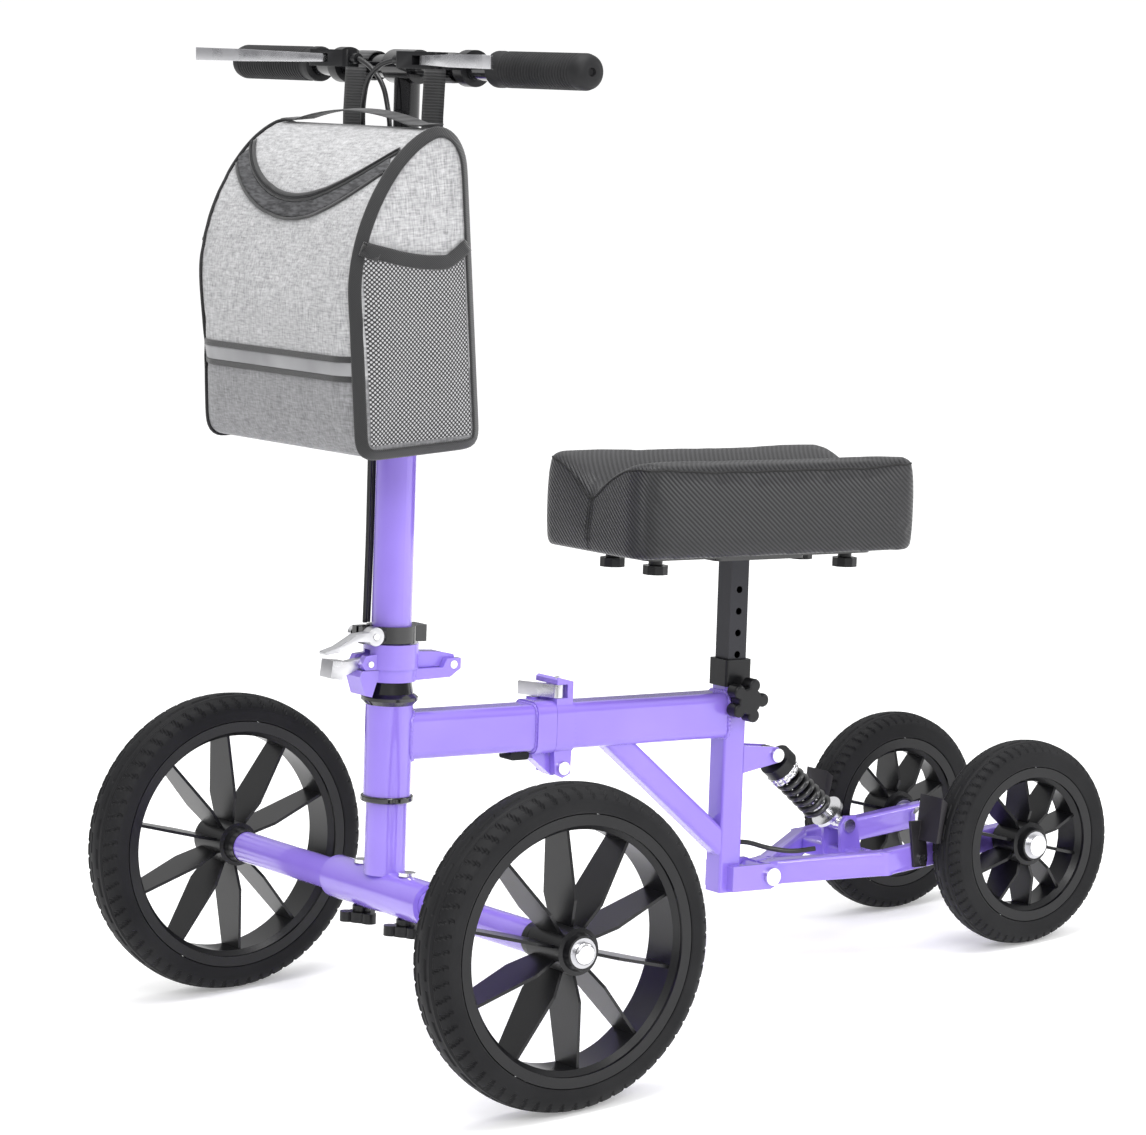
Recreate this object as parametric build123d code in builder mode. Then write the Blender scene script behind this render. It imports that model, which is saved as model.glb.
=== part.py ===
from build123d import *
import os
from math import atan2, cos, degrees, hypot, pi, radians, sin

# Folding all-terrain knee scooter. Millimetres, +Z up, the rider faces -Y, +X is the rider's left.
# The origin lies on the ground, midway between the front of the front wheels and the back of the
# rear wheels. The frame is drawn square and leans back by frame_lean about the front axle.

# ---- driving dimensions: stance ----
wheelbase = 705.0
frame_lean = 5.0
front_wheel_radius = 152.0
front_tyre_width = 54.0
front_track = 610.0
rear_wheel_radius = 106.0
rear_tyre_width = 42.0
rear_track = 216.0

# ---- driving dimensions: wheels ----
tyre_thickness = 27.0
rim_wall = 5.0
spoke_count = 10
spoke_thickness = 3.0
hub_radius = 22.0
front_hub_half = 34.0
rear_hub_half = 25.0
bearing_radius = 14.0
bearing_width = 9.0
axle_radius = 6.0
axle_head_radius = 10.5

# ---- driving dimensions: front axle and column ----
axle_sleeve_radius = 21.0
axle_sleeve_length = 170.0
axle_tube_radius = 15.5
axle_lock_spacing = 80.0
column_radius = 20.0
steerer_radius = 17.0
steerer_bore = 14.5
head_tube_radius = 23.0
head_tube_bore = 20.5
head_tube_base = 94.0
head_tube_length = 88.0
cup_radius = 27.5
fold_height = 219.0
fold_offset = 62.0
fold_pin_radius = 4.0
casting_radius = 27.0
casting_height = 40.0
inner_post_radius = 16.4
inner_post_length = 330.0

# ---- driving dimensions: stem and handlebar ----
stem_radius = 19.4
stem_bore = 16.7
stem_length = 470.0
upper_stem_radius = 12.5
bar_height = 790.0
bar_width = 614.0
bar_radius = 11.1
grip_length = 150.0
grip_radius = 17.0
collar_height = 16.0
lever_mount_x = 98.0

# ---- driving dimensions: frame ----
tube_width = 38.0
tube_height = 46.0
tube_wall = 2.5
tube_level = 151.0
hinge_y = 181.0
hinge_depth = 22.0
hinge_pin_level = 110.0
hinge_pin_radius = 4.0
seat_y = 406.0
seat_tube_size = 26.0
seat_tube_bore = 22.8
seat_tube_foot = -31.0
seat_tube_top = 180.0
seat_collar_height = 27.0
post_size = 22.0
post_bore = 18.0
post_hole_pitch = 22.0

# ---- driving dimensions: knee pad ----
pad_base = 320.0
pad_height = 98.0
pad_width = 180.0
pad_length = 352.0
pad_y = 400.0
pad_channel_depth = 22.0

# ---- driving dimensions: rear suspension ----
swing_y = 450.0
swing_level = -16.0
swing_pivot_radius = 5.0
arm_height = 25.0
arm_width = 18.0
shock_top_y = 459.5
shock_top_level = 106.5
shock_foot_y = 553.0
shock_foot_level = 28.0
spring_radius = 16.0
spring_wire = 5.6
spring_turns = 5.0

# ---- driving dimensions: bag ----
bag_width = 290.0
bag_depth = 134.0
bag_foot = 590.0
bag_top = 889.0

# ---- named clearances ----
running = 0.05
sliding = 0.3
seat_gap = 0.3
shoe_gap = 3.0

middle = (wheelbase + rear_wheel_radius - front_wheel_radius) / 2
front_axle = Vector(0, -middle, front_wheel_radius)
rear_axle = Vector(0, wheelbase - middle, rear_wheel_radius)
lean = radians(frame_lean)
up = Vector(0, sin(lean), cos(lean))
back = Vector(0, cos(lean), -sin(lean))


def spot(x, y, h):
    """Point in the square frame: x to the left, y back from the column, h up it from the front axle."""
    return front_axle + Vector(x, 0, 0) + back * y + up * h


def level(x, y, h):
    """Plane square to the column, x to the left and y to the rear."""
    return Plane(origin=spot(x, y, h), x_dir=(1, 0, 0), z_dir=up)


def left_face(x, y, h):
    """Plane facing the rider's left, x to the rear and y up the column."""
    return Plane(origin=spot(x, y, h), x_dir=back, z_dir=(1, 0, 0))


def rear_face(x, y, h):
    """Plane facing the rear, x to the right and y up the column."""
    return Plane(origin=spot(x, y, h), x_dir=(-1, 0, 0), z_dir=back)


def save(piece, name):
    """Label a finished piece and write its STEP file."""
    piece.part.label = name
    export_step(piece.part, f"parts/{name}.step")


os.makedirs("parts", exist_ok=True)


# ---------------------------------------------------------------- wheels
def wheel_profile_plane(centre, side):
    """Plane through the wheel's axis: x outward along the axle, y up the radius."""
    return Plane(origin=centre, x_dir=(side, 0, 0), z_dir=(0, -side, 0))


def make_tyre(centre, side, radius, width, name):
    """Solid rubber tyre with square shoulders, seated between the rim's lips."""
    seat = radius - tyre_thickness - 4
    bead = seat + 5
    half = width / 2
    with BuildPart() as tyre:
        with BuildSketch(wheel_profile_plane(centre, side)):
            with BuildLine():
                Polyline(
                    (-half + 4, seat), (half - 4, seat), (half - 4, bead), (half, bead),
                    (half, radius - 10), (half - 10, radius), (10 - half, radius),
                    (-half, radius - 10), (-half, bead), (4 - half, bead), close=True,
                )
            make_face()
        revolve(axis=Axis(centre, (1, 0, 0)))
        shoulders = tyre.edges().filter_by(GeomType.CIRCLE).filter_by(lambda e: e.radius > radius - 10.5)
        fillet(shoulders, radius=6)
    save(tyre, name)


def make_wheel(centre, side, radius, width, hub_half, name):
    """Moulded wheel: dished rim, ten thin blades set along the axle, and a stepped hub."""
    outer = radius - tyre_thickness - 4 - seat_gap
    half = width / 2
    inner = outer - rim_wall
    lip = half - 4 + seat_gap
    with BuildPart() as wheel:
        with BuildSketch(wheel_profile_plane(centre, side)):
            with BuildLine():
                Polyline(
                    (-half + 0.5, inner), (half - 0.5, inner), (half - 0.5, outer + 5),
                    (lip, outer + 5), (lip, outer), (-lip, outer), (-lip, outer + 5),
                    (0.5 - half, outer + 5), close=True,
                )
            make_face()
            with BuildLine():
                Polyline(
                    (-half + 9, inner - 5), (half - 9, inner - 5), (half - 3, inner + 1),
                    (3 - half, inner + 1), close=True,
                )
            make_face()
            with BuildLine():
                Polyline(
                    (-hub_half, axle_radius + 1), (hub_half, axle_radius + 1), (hub_half, hub_radius - 6),
                    (hub_half - 7, hub_radius - 4), (hub_half - 8, hub_radius), (8 - hub_half, hub_radius),
                    (7 - hub_half, hub_radius - 4), (-hub_half, hub_radius - 6), close=True,
                )
            make_face()
        revolve(axis=Axis(centre, (1, 0, 0)))
        for number in range(spoke_count):
            turn = radians(360 / spoke_count * number)
            out = Vector(0, sin(turn), cos(turn))
            blade_plane = Plane(origin=centre, x_dir=(side, 0, 0), z_dir=Vector(side, 0, 0).cross(out))
            with BuildSketch(blade_plane):
                with BuildLine():
                    Polyline(
                        (-half * 0.6, hub_radius - 3), (half * 0.6, hub_radius - 3),
                        (half * 0.93, hub_radius + (inner - hub_radius) * 0.27), (half * 0.62, inner - 3),
                        (-half * 0.62, inner - 3), (-half * 0.93, hub_radius + (inner - hub_radius) * 0.27),
                        close=True,
                    )
                make_face()
            extrude(amount=spoke_thickness / 2, both=True)
        for face in (-1, 1):
            mouth = centre + Vector(side * face * hub_half, 0, 0)
            with BuildSketch(Plane(origin=mouth, z_dir=(-side * face, 0, 0))):
                Circle(bearing_radius + 0.02)
            extrude(amount=bearing_width, mode=Mode.SUBTRACT)
    save(wheel, name)


def make_bearings(axle, track, hub_half, name):
    """The ball bearings of one axle's two hubs, as plain rings that stay on the axle bolts."""
    with BuildPart() as bearings:
        for side in (-1, 1):
            for face in (-1, 1):
                mouth = axle + Vector(side * track / 2 + face * hub_half, 0, 0)
                with BuildSketch(Plane(origin=mouth, z_dir=(-face, 0, 0))):
                    Circle(bearing_radius)
                    Circle(axle_radius + running, mode=Mode.SUBTRACT)
                extrude(amount=bearing_width)
    save(bearings, name)


sides = ((1, "left"), (-1, "right"))
for side, word in sides:
    front_centre = front_axle + Vector(side * front_track / 2, 0, 0)
    make_tyre(front_centre, side, front_wheel_radius, front_tyre_width, f"front_tyre_{word}")
    make_wheel(front_centre, side, front_wheel_radius, front_tyre_width, front_hub_half, f"front_wheel_{word}")
    rear_centre = rear_axle + Vector(side * rear_track / 2, 0, 0)
    make_tyre(rear_centre, side, rear_wheel_radius, rear_tyre_width, f"rear_tyre_{word}")
    make_wheel(rear_centre, side, rear_wheel_radius, rear_tyre_width, rear_hub_half, f"rear_wheel_{word}")
make_bearings(front_axle, front_track, front_hub_half, "front_wheel_bearings")
make_bearings(rear_axle, rear_track, rear_hub_half, "rear_wheel_bearings")


def domed_bolt(start, outward, shaft_length, shaft_radius, head_radius, head_height, nut_height):
    """One bolt: a domed head outside start, a shaft going in from it and a nut on the far end."""
    z = Vector(outward)
    with BuildSketch(Plane(origin=start, z_dir=z)) as head:
        Circle(head_radius)
    extrude(head.sketch, amount=head_height)
    with BuildSketch(Plane(origin=start, z_dir=-z)) as shaft:
        Circle(shaft_radius)
    extrude(shaft.sketch, amount=shaft_length)
    if nut_height > 0:
        with BuildSketch(Plane(origin=start - z * shaft_length, z_dir=z)) as nut:
            RegularPolygon(head_radius * 0.95, 6)
        extrude(nut.sketch, amount=nut_height)


# ---------------------------------------------------------------- front axle and lower column
front_inner = front_track / 2 - front_hub_half
front_outer = front_track / 2 + front_hub_half
axle_tube_end = front_inner - 9
with BuildPart() as steering_column:
    with BuildSketch(left_face(0, 0, 0)):
        Circle(axle_sleeve_radius)
        Circle(axle_tube_radius + sliding, mode=Mode.SUBTRACT)
    extrude(amount=axle_sleeve_length / 2, both=True)
    with BuildSketch(level(0, 0, axle_tube_radius + sliding + 1)):
        Circle(column_radius)
    extrude(amount=head_tube_base - 7 - axle_tube_radius - sliding - 1)
    with BuildSketch(level(0, 0, head_tube_base - 7)):
        Circle(steerer_radius)
        Circle(steerer_bore, mode=Mode.SUBTRACT)
    extrude(amount=fold_height - 14 - head_tube_base + 7)
    # lower half of the folding casting: a cup on the steerer, a hinge fork behind, a catch in front
    with BuildSketch(level(0, 0, fold_height - 14)):
        Circle(casting_radius - 2)
        Circle(steerer_bore, mode=Mode.SUBTRACT)
    extrude(amount=12)
    for side in (-1, 1):
        with BuildSketch(left_face(side * 12.5, 0, fold_height)):
            with BuildLine():
                Polyline(
                    (12, -13.5), (fold_offset - 4, -12), (fold_offset + 8, -4), (fold_offset + 8, 6),
                    (fold_offset - 8, 6), (fold_offset - 12, -2.4), (12, -2.4), close=True,
                )
            make_face()
        extrude(amount=3.5, both=True)
    with BuildSketch(left_face(0, 0, fold_height)):
        with Locations((fold_offset, 0)):
            Circle(fold_pin_radius + running)
    extrude(amount=20, both=True, mode=Mode.SUBTRACT)
    with BuildSketch(left_face(0, 0, fold_height)):
        with BuildLine():
            Polyline(
                (-14, -2.4), (-39, -2.4), (-42, -8), (-36, -26), (-28, -28), (-23, -13.5), (-14, -13.5),
                close=True,
            )
        make_face()
    extrude(amount=13, both=True)
    for side in (-1, 1):
        with BuildSketch(level(side * axle_lock_spacing / 2, 0, 0)):
            Circle(4.2)
        extrude(amount=axle_sleeve_radius + 2, both=True, mode=Mode.SUBTRACT)
save(steering_column, "steering_column")

with BuildPart() as axle_tubes:
    for side in (-1, 1):
        with BuildSketch(left_face(side * axle_tube_end, 0, 0)):
            Circle(axle_tube_radius)
            Circle(axle_radius + running, mode=Mode.SUBTRACT)
        extrude(amount=-side * (axle_tube_end - 6))
        with BuildSketch(level(side * axle_lock_spacing / 2, 0, 0)):
            Circle(4.2)
        extrude(amount=axle_tube_radius + 2, both=True, mode=Mode.SUBTRACT)
save(axle_tubes, "front_axle_tubes")

with BuildPart() as axle_caps:
    for side in (-1, 1):
        with BuildSketch(left_face(side * axle_tube_end, 0, 0)):
            Circle(axle_tube_radius + 1)
            Circle(axle_radius + running, mode=Mode.SUBTRACT)
        extrude(amount=side * (front_inner - axle_tube_end - seat_gap))
save(axle_caps, "front_axle_end_caps")

with BuildPart() as axle_lock_bolts:
    for side in (-1, 1):
        head = spot(side * axle_lock_spacing / 2, 0, axle_sleeve_radius)
        domed_bolt(head, up, 2 * axle_sleeve_radius + 12, 4.0, 8.5, 3.5, 0)
save(axle_lock_bolts, "axle_lock_bolts")

with BuildPart() as axle_lock_knobs:
    for side in (-1, 1):
        with BuildSketch(level(side * axle_lock_spacing / 2, 0, -axle_sleeve_radius)):
            Circle(9)
            Circle(4.0 + running, mode=Mode.SUBTRACT)
        extrude(amount=-16)
        with BuildSketch(level(side * axle_lock_spacing / 2, 0, -axle_sleeve_radius - 6)):
            with PolarLocations(14, 3):
                Circle(7)
            Circle(13)
            Circle(4.0 + running, mode=Mode.SUBTRACT)
        extrude(amount=-10)
save(axle_lock_knobs, "axle_lock_knobs")

with BuildPart() as front_axle_bolts:
    for side in (-1, 1):
        head = front_axle + Vector(side * front_outer, 0, 0)
        domed_bolt(head, (side, 0, 0), 2 * front_hub_half + 60, axle_radius, axle_head_radius, 5, 0)
    fillet(front_axle_bolts.edges().filter_by(GeomType.CIRCLE).group_by(Axis.X)[-1], radius=3)
    fillet(front_axle_bolts.edges().filter_by(GeomType.CIRCLE).group_by(Axis.X)[0], radius=3)
save(front_axle_bolts, "front_axle_bolts")

# ---------------------------------------------------------------- head tube, headset and front frame
head_top = head_tube_base + head_tube_length
latch_pin_h = tube_level + tube_height / 2
front_casting_y = hinge_y - hinge_depth


def tube_section(grow=0.0):
    """Main tube's rounded section, grown all round."""
    RectangleRounded(tube_width + 2 * grow, tube_height + 2 * grow, 9 + grow)


with BuildPart() as front_frame:
    with BuildSketch(level(0, 0, head_tube_base)):
        Circle(head_tube_radius)
    extrude(amount=head_tube_length)
    with BuildSketch(rear_face(0, 0, tube_level)):
        tube_section()
    extrude(amount=hinge_y - 1)
    with BuildSketch(rear_face(0, front_casting_y, tube_level)):
        tube_section(3)
    extrude(amount=hinge_depth)
    # hinge knuckle under the casting, and the catch that the latch hook pulls on
    with BuildSketch(left_face(0, 0, 0)):
        with BuildLine():
            Polyline(
                (front_casting_y, tube_level - tube_height / 2 + 2), (front_casting_y + 4, hinge_pin_level + 10),
                (hinge_y + 4, hinge_pin_level - 8), (hinge_y + 16, hinge_pin_level - 8),
                (hinge_y + 19, hinge_pin_level + 6), (hinge_y, hinge_pin_level + 12),
                (hinge_y, tube_level - tube_height / 2 + 2), close=True,
            )
        make_face()
    extrude(amount=8, both=True)
    with BuildSketch(left_face(-11, 0, 0)):
        with BuildLine():
            Polyline(
                (hinge_y - 12, latch_pin_h), (hinge_y - 2, latch_pin_h),
                (hinge_y - 2, latch_pin_h + 5), (hinge_y - 12, latch_pin_h + 4.5), close=True,
            )
        make_face()
    extrude(amount=5, both=True)
    with BuildSketch(rear_face(0, head_tube_radius + 3, tube_level)):
        RectangleRounded(tube_width - 2 * tube_wall, tube_height - 2 * tube_wall, 9 - tube_wall)
    extrude(amount=front_casting_y - head_tube_radius - 3, mode=Mode.SUBTRACT)
    with BuildSketch(level(0, 0, head_tube_base)):
        Circle(head_tube_bore)
    extrude(amount=head_tube_length, mode=Mode.SUBTRACT)
    with BuildSketch(left_face(0, hinge_y + 12, hinge_pin_level)):
        Circle(hinge_pin_radius + running)
    extrude(amount=20, both=True, mode=Mode.SUBTRACT)
save(front_frame, "front_frame")

with BuildPart() as headset_cups:
    with BuildSketch(level(0, 0, head_tube_base - 6)):
        Circle(head_tube_radius + 2.5)
        Circle(steerer_radius + sliding, mode=Mode.SUBTRACT)
    extrude(amount=6)
    fillet(headset_cups.edges().filter_by(GeomType.CIRCLE).filter_by(lambda e: e.radius > 24), radius=1.5)
    with BuildSketch(left_face(0, 0, head_top)):
        with BuildLine():
            Polyline(
                (steerer_radius + sliding, 0), (head_tube_radius, 0), (cup_radius, 4.5), (cup_radius, 7.5),
                (column_radius + 3, 11), (column_radius + 1, 22), (steerer_radius + sliding, 22), close=True,
            )
        make_face()
    revolve(axis=Axis(spot(0, 0, 0), up))
save(headset_cups, "headset_cups")

with BuildPart() as headset_bearings:
    for start in (head_tube_base + 0.1, head_top - 8.1):
        with BuildSketch(level(0, 0, start)):
            Circle(head_tube_bore - running)
            Circle(steerer_radius + running, mode=Mode.SUBTRACT)
        extrude(amount=8)
save(headset_bearings, "headset_bearings")

with BuildPart() as fold_stop:
    with BuildSketch(left_face(0, front_casting_y - 13, tube_level - tube_height / 2 - 4 - seat_gap)):
        RectangleRounded(22, 8, 3)
    extrude(amount=10, both=True)
save(fold_stop, "frame_fold_stop")

# ---------------------------------------------------------------- column fold casting and inner post
with BuildPart() as fold_casting:
    with BuildSketch(level(0, 0, fold_height - 1.8)):
        Circle(casting_radius)
    extrude(amount=casting_height - 16)
    with BuildSketch(left_face(0, 0, fold_height)):
        with BuildLine():
            Polyline(
                (14, -1.8), (fold_offset - 12, -1.8), (fold_offset - 7, -6), (fold_offset + 5, -6),
                (fold_offset + 8, 0), (fold_offset + 4, 9), (fold_offset - 10, 12), (14, 14), close=True,
            )
        make_face()
    extrude(amount=8.5, both=True)
    with BuildSketch(left_face(0, 0, fold_height)):
        with BuildLine():
            Polyline((-14, -1.8), (-36, -1.8), (-40, 4), (-36, 12), (-14, 14), close=True)
        make_face()
    extrude(amount=13, both=True)
    with BuildSketch(left_face(0, 0, fold_height)):
        with Locations((fold_offset, 0)):
            Circle(fold_pin_radius + running)
    extrude(amount=20, both=True, mode=Mode.SUBTRACT)
    with BuildSketch(left_face(0, 0, fold_height)):
        with Locations((-31, 4)):
            Circle(3.0 + running)
    extrude(amount=20, both=True, mode=Mode.SUBTRACT)
    with BuildSketch(left_face(0, 0, fold_height)):
        with Locations((-36.5, 5)):
            Rectangle(30, 24)
    extrude(amount=5.4, both=True, mode=Mode.SUBTRACT)
save(fold_casting, "column_fold_casting")

post_foot = fold_height - 1.8 + casting_height - 16
with BuildPart() as inner_post:
    with BuildSketch(level(0, 0, post_foot)):
        Circle(inner_post_radius)
        Circle(inner_post_radius - 2, mode=Mode.SUBTRACT)
    extrude(amount=inner_post_length)
save(inner_post, "inner_post")

with BuildPart() as column_pins:
    with BuildSketch(left_face(-16.5, fold_offset, fold_height)):
        Circle(fold_pin_radius)
    extrude(amount=33)
save(column_pins, "column_fold_pin")

latch_y, latch_h = -31, fold_height + 4
with BuildPart() as column_latch:
    with BuildSketch(left_face(0, latch_y, latch_h)):
        with BuildLine():
            Polyline((-5, -4), (4, -4), (4, 5), (-5, 5), (-22, 2), (-40, 4), (-40, -12), (-30, -14), close=True)
        make_face()
        Circle(3.0 + running, mode=Mode.SUBTRACT)
    extrude(amount=5, both=True)
    with BuildSketch(left_face(0, latch_y, latch_h)):
        with BuildLine():
            Polyline((-22, 3), (-40, 5), (-42, -12), (-30, -14), (-24, -8), close=True)
        make_face()
    extrude(amount=10.5, both=True)
save(column_latch, "column_latch_lever")

with BuildPart() as latch_pin:
    with BuildSketch(left_face(-15, latch_y, latch_h)):
        Circle(3.0)
    extrude(amount=30)
save(latch_pin, "column_latch_pin")

# ---------------------------------------------------------------- sliding stem
stem_foot = post_foot + seat_gap
with BuildPart() as stem_tube:
    with BuildSketch(level(0, 0, stem_foot)):
        Circle(stem_radius)
        Circle(stem_bore, mode=Mode.SUBTRACT)
    extrude(amount=stem_length)
save(stem_tube, "stem_tube")

stem_top = stem_foot + stem_length
with BuildPart() as upper_stem:
    with BuildSketch(level(0, 0, stem_top - 60)):
        Circle(stem_bore - running)
    extrude(amount=60)
    with BuildSketch(level(0, 0, stem_top)):
        Circle(stem_radius + 1)
    extrude(amount=6)
    with BuildSketch(level(0, 0, stem_top)):
        Circle(upper_stem_radius)
    extrude(amount=bar_height - stem_top)
    with BuildSketch(left_face(-22, 0, bar_height)):
        Circle(bar_radius + 5)
    extrude(amount=44)
    with BuildSketch(left_face(-30, 0, bar_height)):
        Circle(bar_radius + running)
    extrude(amount=60, mode=Mode.SUBTRACT)
save(upper_stem, "handlebar_stem")

with BuildPart() as handlebar:
    with BuildSketch(left_face(-bar_width / 2 + 3, 0, bar_height)):
        Circle(bar_radius)
        Circle(bar_radius - 1.8, mode=Mode.SUBTRACT)
    extrude(amount=bar_width - 6)
save(handlebar, "handlebar")

with BuildPart() as grips:
    for side in (-1, 1):
        with BuildSketch(left_face(side * bar_width / 2, 0, bar_height)):
            Circle(grip_radius)
        extrude(amount=-side * grip_length)
    fillet(grips.edges().filter_by(GeomType.CIRCLE).group_by(Axis.X)[-1], radius=7)
    fillet(grips.edges().filter_by(GeomType.CIRCLE).group_by(Axis.X)[0], radius=7)
    for side in (-1, 1):
        with BuildSketch(left_face(side * (bar_width / 2 - 2.9), 0, bar_height)):
            Circle(bar_radius + running)
        extrude(amount=-side * grip_length, mode=Mode.SUBTRACT)
save(grips, "handlebar_grips")

with BuildPart() as collar:
    with BuildSketch(level(0, 0, stem_foot + 1)):
        Circle(stem_radius + 5)
        with Locations((0, stem_radius + 6)):
            RectangleRounded(24, 16, 2)
        with Locations((0, -stem_radius - 8)):
            RectangleRounded(22, 22, 2)
        Circle(stem_radius + running, mode=Mode.SUBTRACT)
        with Locations((0, -stem_radius - 12)):
            Rectangle(4, 30, mode=Mode.SUBTRACT)
    extrude(amount=collar_height)
    with BuildSketch(left_face(0, -stem_radius - 12, stem_foot + 1 + collar_height / 2)):
        Circle(3.0 + running)
    extrude(amount=20, both=True, mode=Mode.SUBTRACT)
save(collar, "height_collar")

release_y = -stem_radius - 12
release_h = stem_foot + 1 + collar_height / 2
with BuildPart() as release_bolt:
    with BuildSketch(left_face(-22, release_y, release_h)):
        Circle(3.0)
    extrude(amount=46)
    with BuildSketch(left_face(-12, release_y, release_h)):
        Circle(7)
    extrude(amount=-6)
save(release_bolt, "height_release_bolt")

with BuildPart() as release_lever:
    with BuildSketch(left_face(11.3, release_y, release_h)):
        Circle(9)
    extrude(amount=12)
    with BuildSketch(left_face(17.3, release_y, release_h)):
        with BuildLine():
            Polyline((-4, 5), (-22, 3), (-42, -8), (-56, -12), (-56, -15), (-40, -13), (-20, -4), (-4, -5), close=True)
        make_face()
    extrude(amount=6, both=True)
    with BuildSketch(left_face(11.3, release_y, release_h)):
        Circle(3.0 + running)
    extrude(amount=12.5, mode=Mode.SUBTRACT)
save(release_lever, "height_release_lever")

# ---------------------------------------------------------------- brake levers and their cables
lever_y = -34.0
lever_h = bar_height + 6
pivot_x = lever_mount_x - 8
with BuildPart() as lever_mounts:
    for side in (-1, 1):
        with BuildSketch(left_face(side * (lever_mount_x + 6), 0, bar_height)):
            Circle(bar_radius + 6)
            Circle(bar_radius + running, mode=Mode.SUBTRACT)
        extrude(amount=side * 14)
        with BuildSketch(level(side * (lever_mount_x - 20), lever_y, lever_h - 8)):
            RectangleRounded(68, 18, 5)
        extrude(amount=16)
        with BuildSketch(level(side * (lever_mount_x + 13), lever_y / 2 - 5, lever_h - 8)):
            RectangleRounded(14, -lever_y - 6, 2)
        extrude(amount=12)
        with BuildSketch(left_face(side * (lever_mount_x + 4), 0, bar_height)):
            Circle(bar_radius + running)
        extrude(amount=side * 18, mode=Mode.SUBTRACT)
        with BuildSketch(left_face(side * (lever_mount_x - 54), lever_y, lever_h)):
            Circle(5)
        extrude(amount=-side * 10)
        with BuildSketch(level(side * (pivot_x + 6), lever_y - 2, lever_h - 4.3)):
            RectangleRounded(42, 24, 2)
        extrude(amount=8.6, mode=Mode.SUBTRACT)
        with BuildSketch(level(side * pivot_x, lever_y, lever_h - 8)):
            Circle(2.5)
        extrude(amount=16)
save(lever_mounts, "brake_lever_mounts")


def make_brake_lever(side, name):
    """Blade lever on its vertical pivot, curving forward and outward past the grip."""
    with BuildPart() as lever:
        with BuildSketch(level(0, 0, lever_h - 4)):
            with BuildLine():
                Polyline(
                    (side * (pivot_x - 8), lever_y + 6), (side * (pivot_x + 8), lever_y + 6),
                    (side * (pivot_x + 40), lever_y - 14), (side * (pivot_x + 100), lever_y - 32),
                    (side * (pivot_x + 168), lever_y - 40), (side * (pivot_x + 172), lever_y - 45),
                    (side * (pivot_x + 166), lever_y - 50), (side * (pivot_x + 96), lever_y - 41),
                    (side * (pivot_x + 30), lever_y - 22), (side * (pivot_x - 4), lever_y - 8), close=True,
                )
            make_face()
            with Locations((side * pivot_x, lever_y)):
                Circle(2.5 + running, mode=Mode.SUBTRACT)
        extrude(amount=8)
    save(lever, name)


for side, word in sides:
    make_brake_lever(side, f"brake_lever_{word}")

cable_radius = 2.4


def make_cable(points, radius, name):
    """Cable of round section along straight runs joined by arcs as large as the runs allow."""
    vectors = [spot(*p) for p in points]
    radii = []
    for before, here, after in zip(vectors, vectors[1:], vectors[2:]):
        turn = radians((here - before).get_angle(after - here))
        run = min((here - before).length, (after - here).length)
        radii.append(0.45 * run / abs(sin(turn / 2) / cos(turn / 2)))
    with BuildPart() as cable:
        with BuildLine() as path:
            FilletPolyline(*vectors, radius=radii)
        route = path.wire()
        with BuildSketch(Plane(origin=route @ 0, z_dir=route % 0)):
            Circle(radius)
        sweep(path=route)
    share = cable.part.volume / (pi * radius**2 * route.length)
    print(name, "radii", [round(r) for r in radii], "length", round(route.length), "volume share", round(share, 4))
    save(cable, name)


cable_exit = lever_mount_x - 64
cable_points = {
    1: [(cable_exit - 0.9, lever_y, lever_h), (14, -38, lever_h - 4), (-10, -38.5, lever_h - 18),
        (-21, -36, lever_h - 48), (-23, -31, lever_h - 95), (-22.5, -27, lever_h - 150),
        (-21, -20, lever_h - 210), (-20.2, -15, lever_h - 270), (-19.8, -13.4, lever_h - 330),
        (-19.6, -13.1, lever_h - 392), (-19.4, -13.4, lever_h - 452), (-19.0, -14.2, lever_h - 496),
        (-18.8, -15.2, lever_h - 536.5)],
    -1: [(0.9 - cable_exit, lever_y, lever_h), (-16, -31, lever_h - 7), (4, -28.5, lever_h - 24),
         (14, -27, lever_h - 56), (15.5, -25, lever_h - 104), (13, -22, lever_h - 160),
         (4, -22.6, lever_h - 220), (-6, -23.6, lever_h - 280), (-12, -22.2, lever_h - 340),
         (-14.6, -20.4, lever_h - 400), (-15.2, -19.8, lever_h - 455), (-15.4, -20.2, lever_h - 496),
         (-15.6, -20.6, lever_h - 536.5)],
}
for side, word in sides:
    make_cable(cable_points[side], cable_radius, f"brake_cable_{word}")

# ---------------------------------------------------------------- bag and its webbing
bag_front = -90.0
bag_shift = -4.0
bag_back = bag_front + bag_depth
bag_plane = Plane(origin=(bag_shift, -middle, 0), x_dir=(0, 1, 0), z_dir=(1, 0, 0))
with BuildPart() as bag:
    with BuildSketch(bag_plane):
        with BuildLine():
            Line((bag_front + 14, bag_foot), (bag_front + bag_depth - 12, bag_foot))
            Line((bag_front + bag_depth, bag_foot + 12), (bag_front + bag_depth, bag_top - 44))
            RadiusArc((bag_front + bag_depth - 12, bag_foot), (bag_front + bag_depth, bag_foot + 12), -12)
            RadiusArc((bag_front + bag_depth, bag_top - 44), (bag_front + bag_depth - 34, bag_top), -40)
            Spline(
                (bag_front + bag_depth - 34, bag_top), (bag_front + 42, bag_top - 52), (bag_front, bag_top - 150),
                tangents=((-1, 0.1), (0, -1)),
            )
            Line((bag_front, bag_top - 150), (bag_front, bag_foot + 14))
            RadiusArc((bag_front, bag_foot + 14), (bag_front + 14, bag_foot), -14)
        make_face()
    extrude(amount=bag_width / 2, both=True)
    # the back panel is pressed in around the stem and its cables
    with BuildSketch(level(0, 8, 380)):
        RectangleRounded(60, 100, 8)
    extrude(amount=440, mode=Mode.SUBTRACT)
save(bag, "bag")

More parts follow.
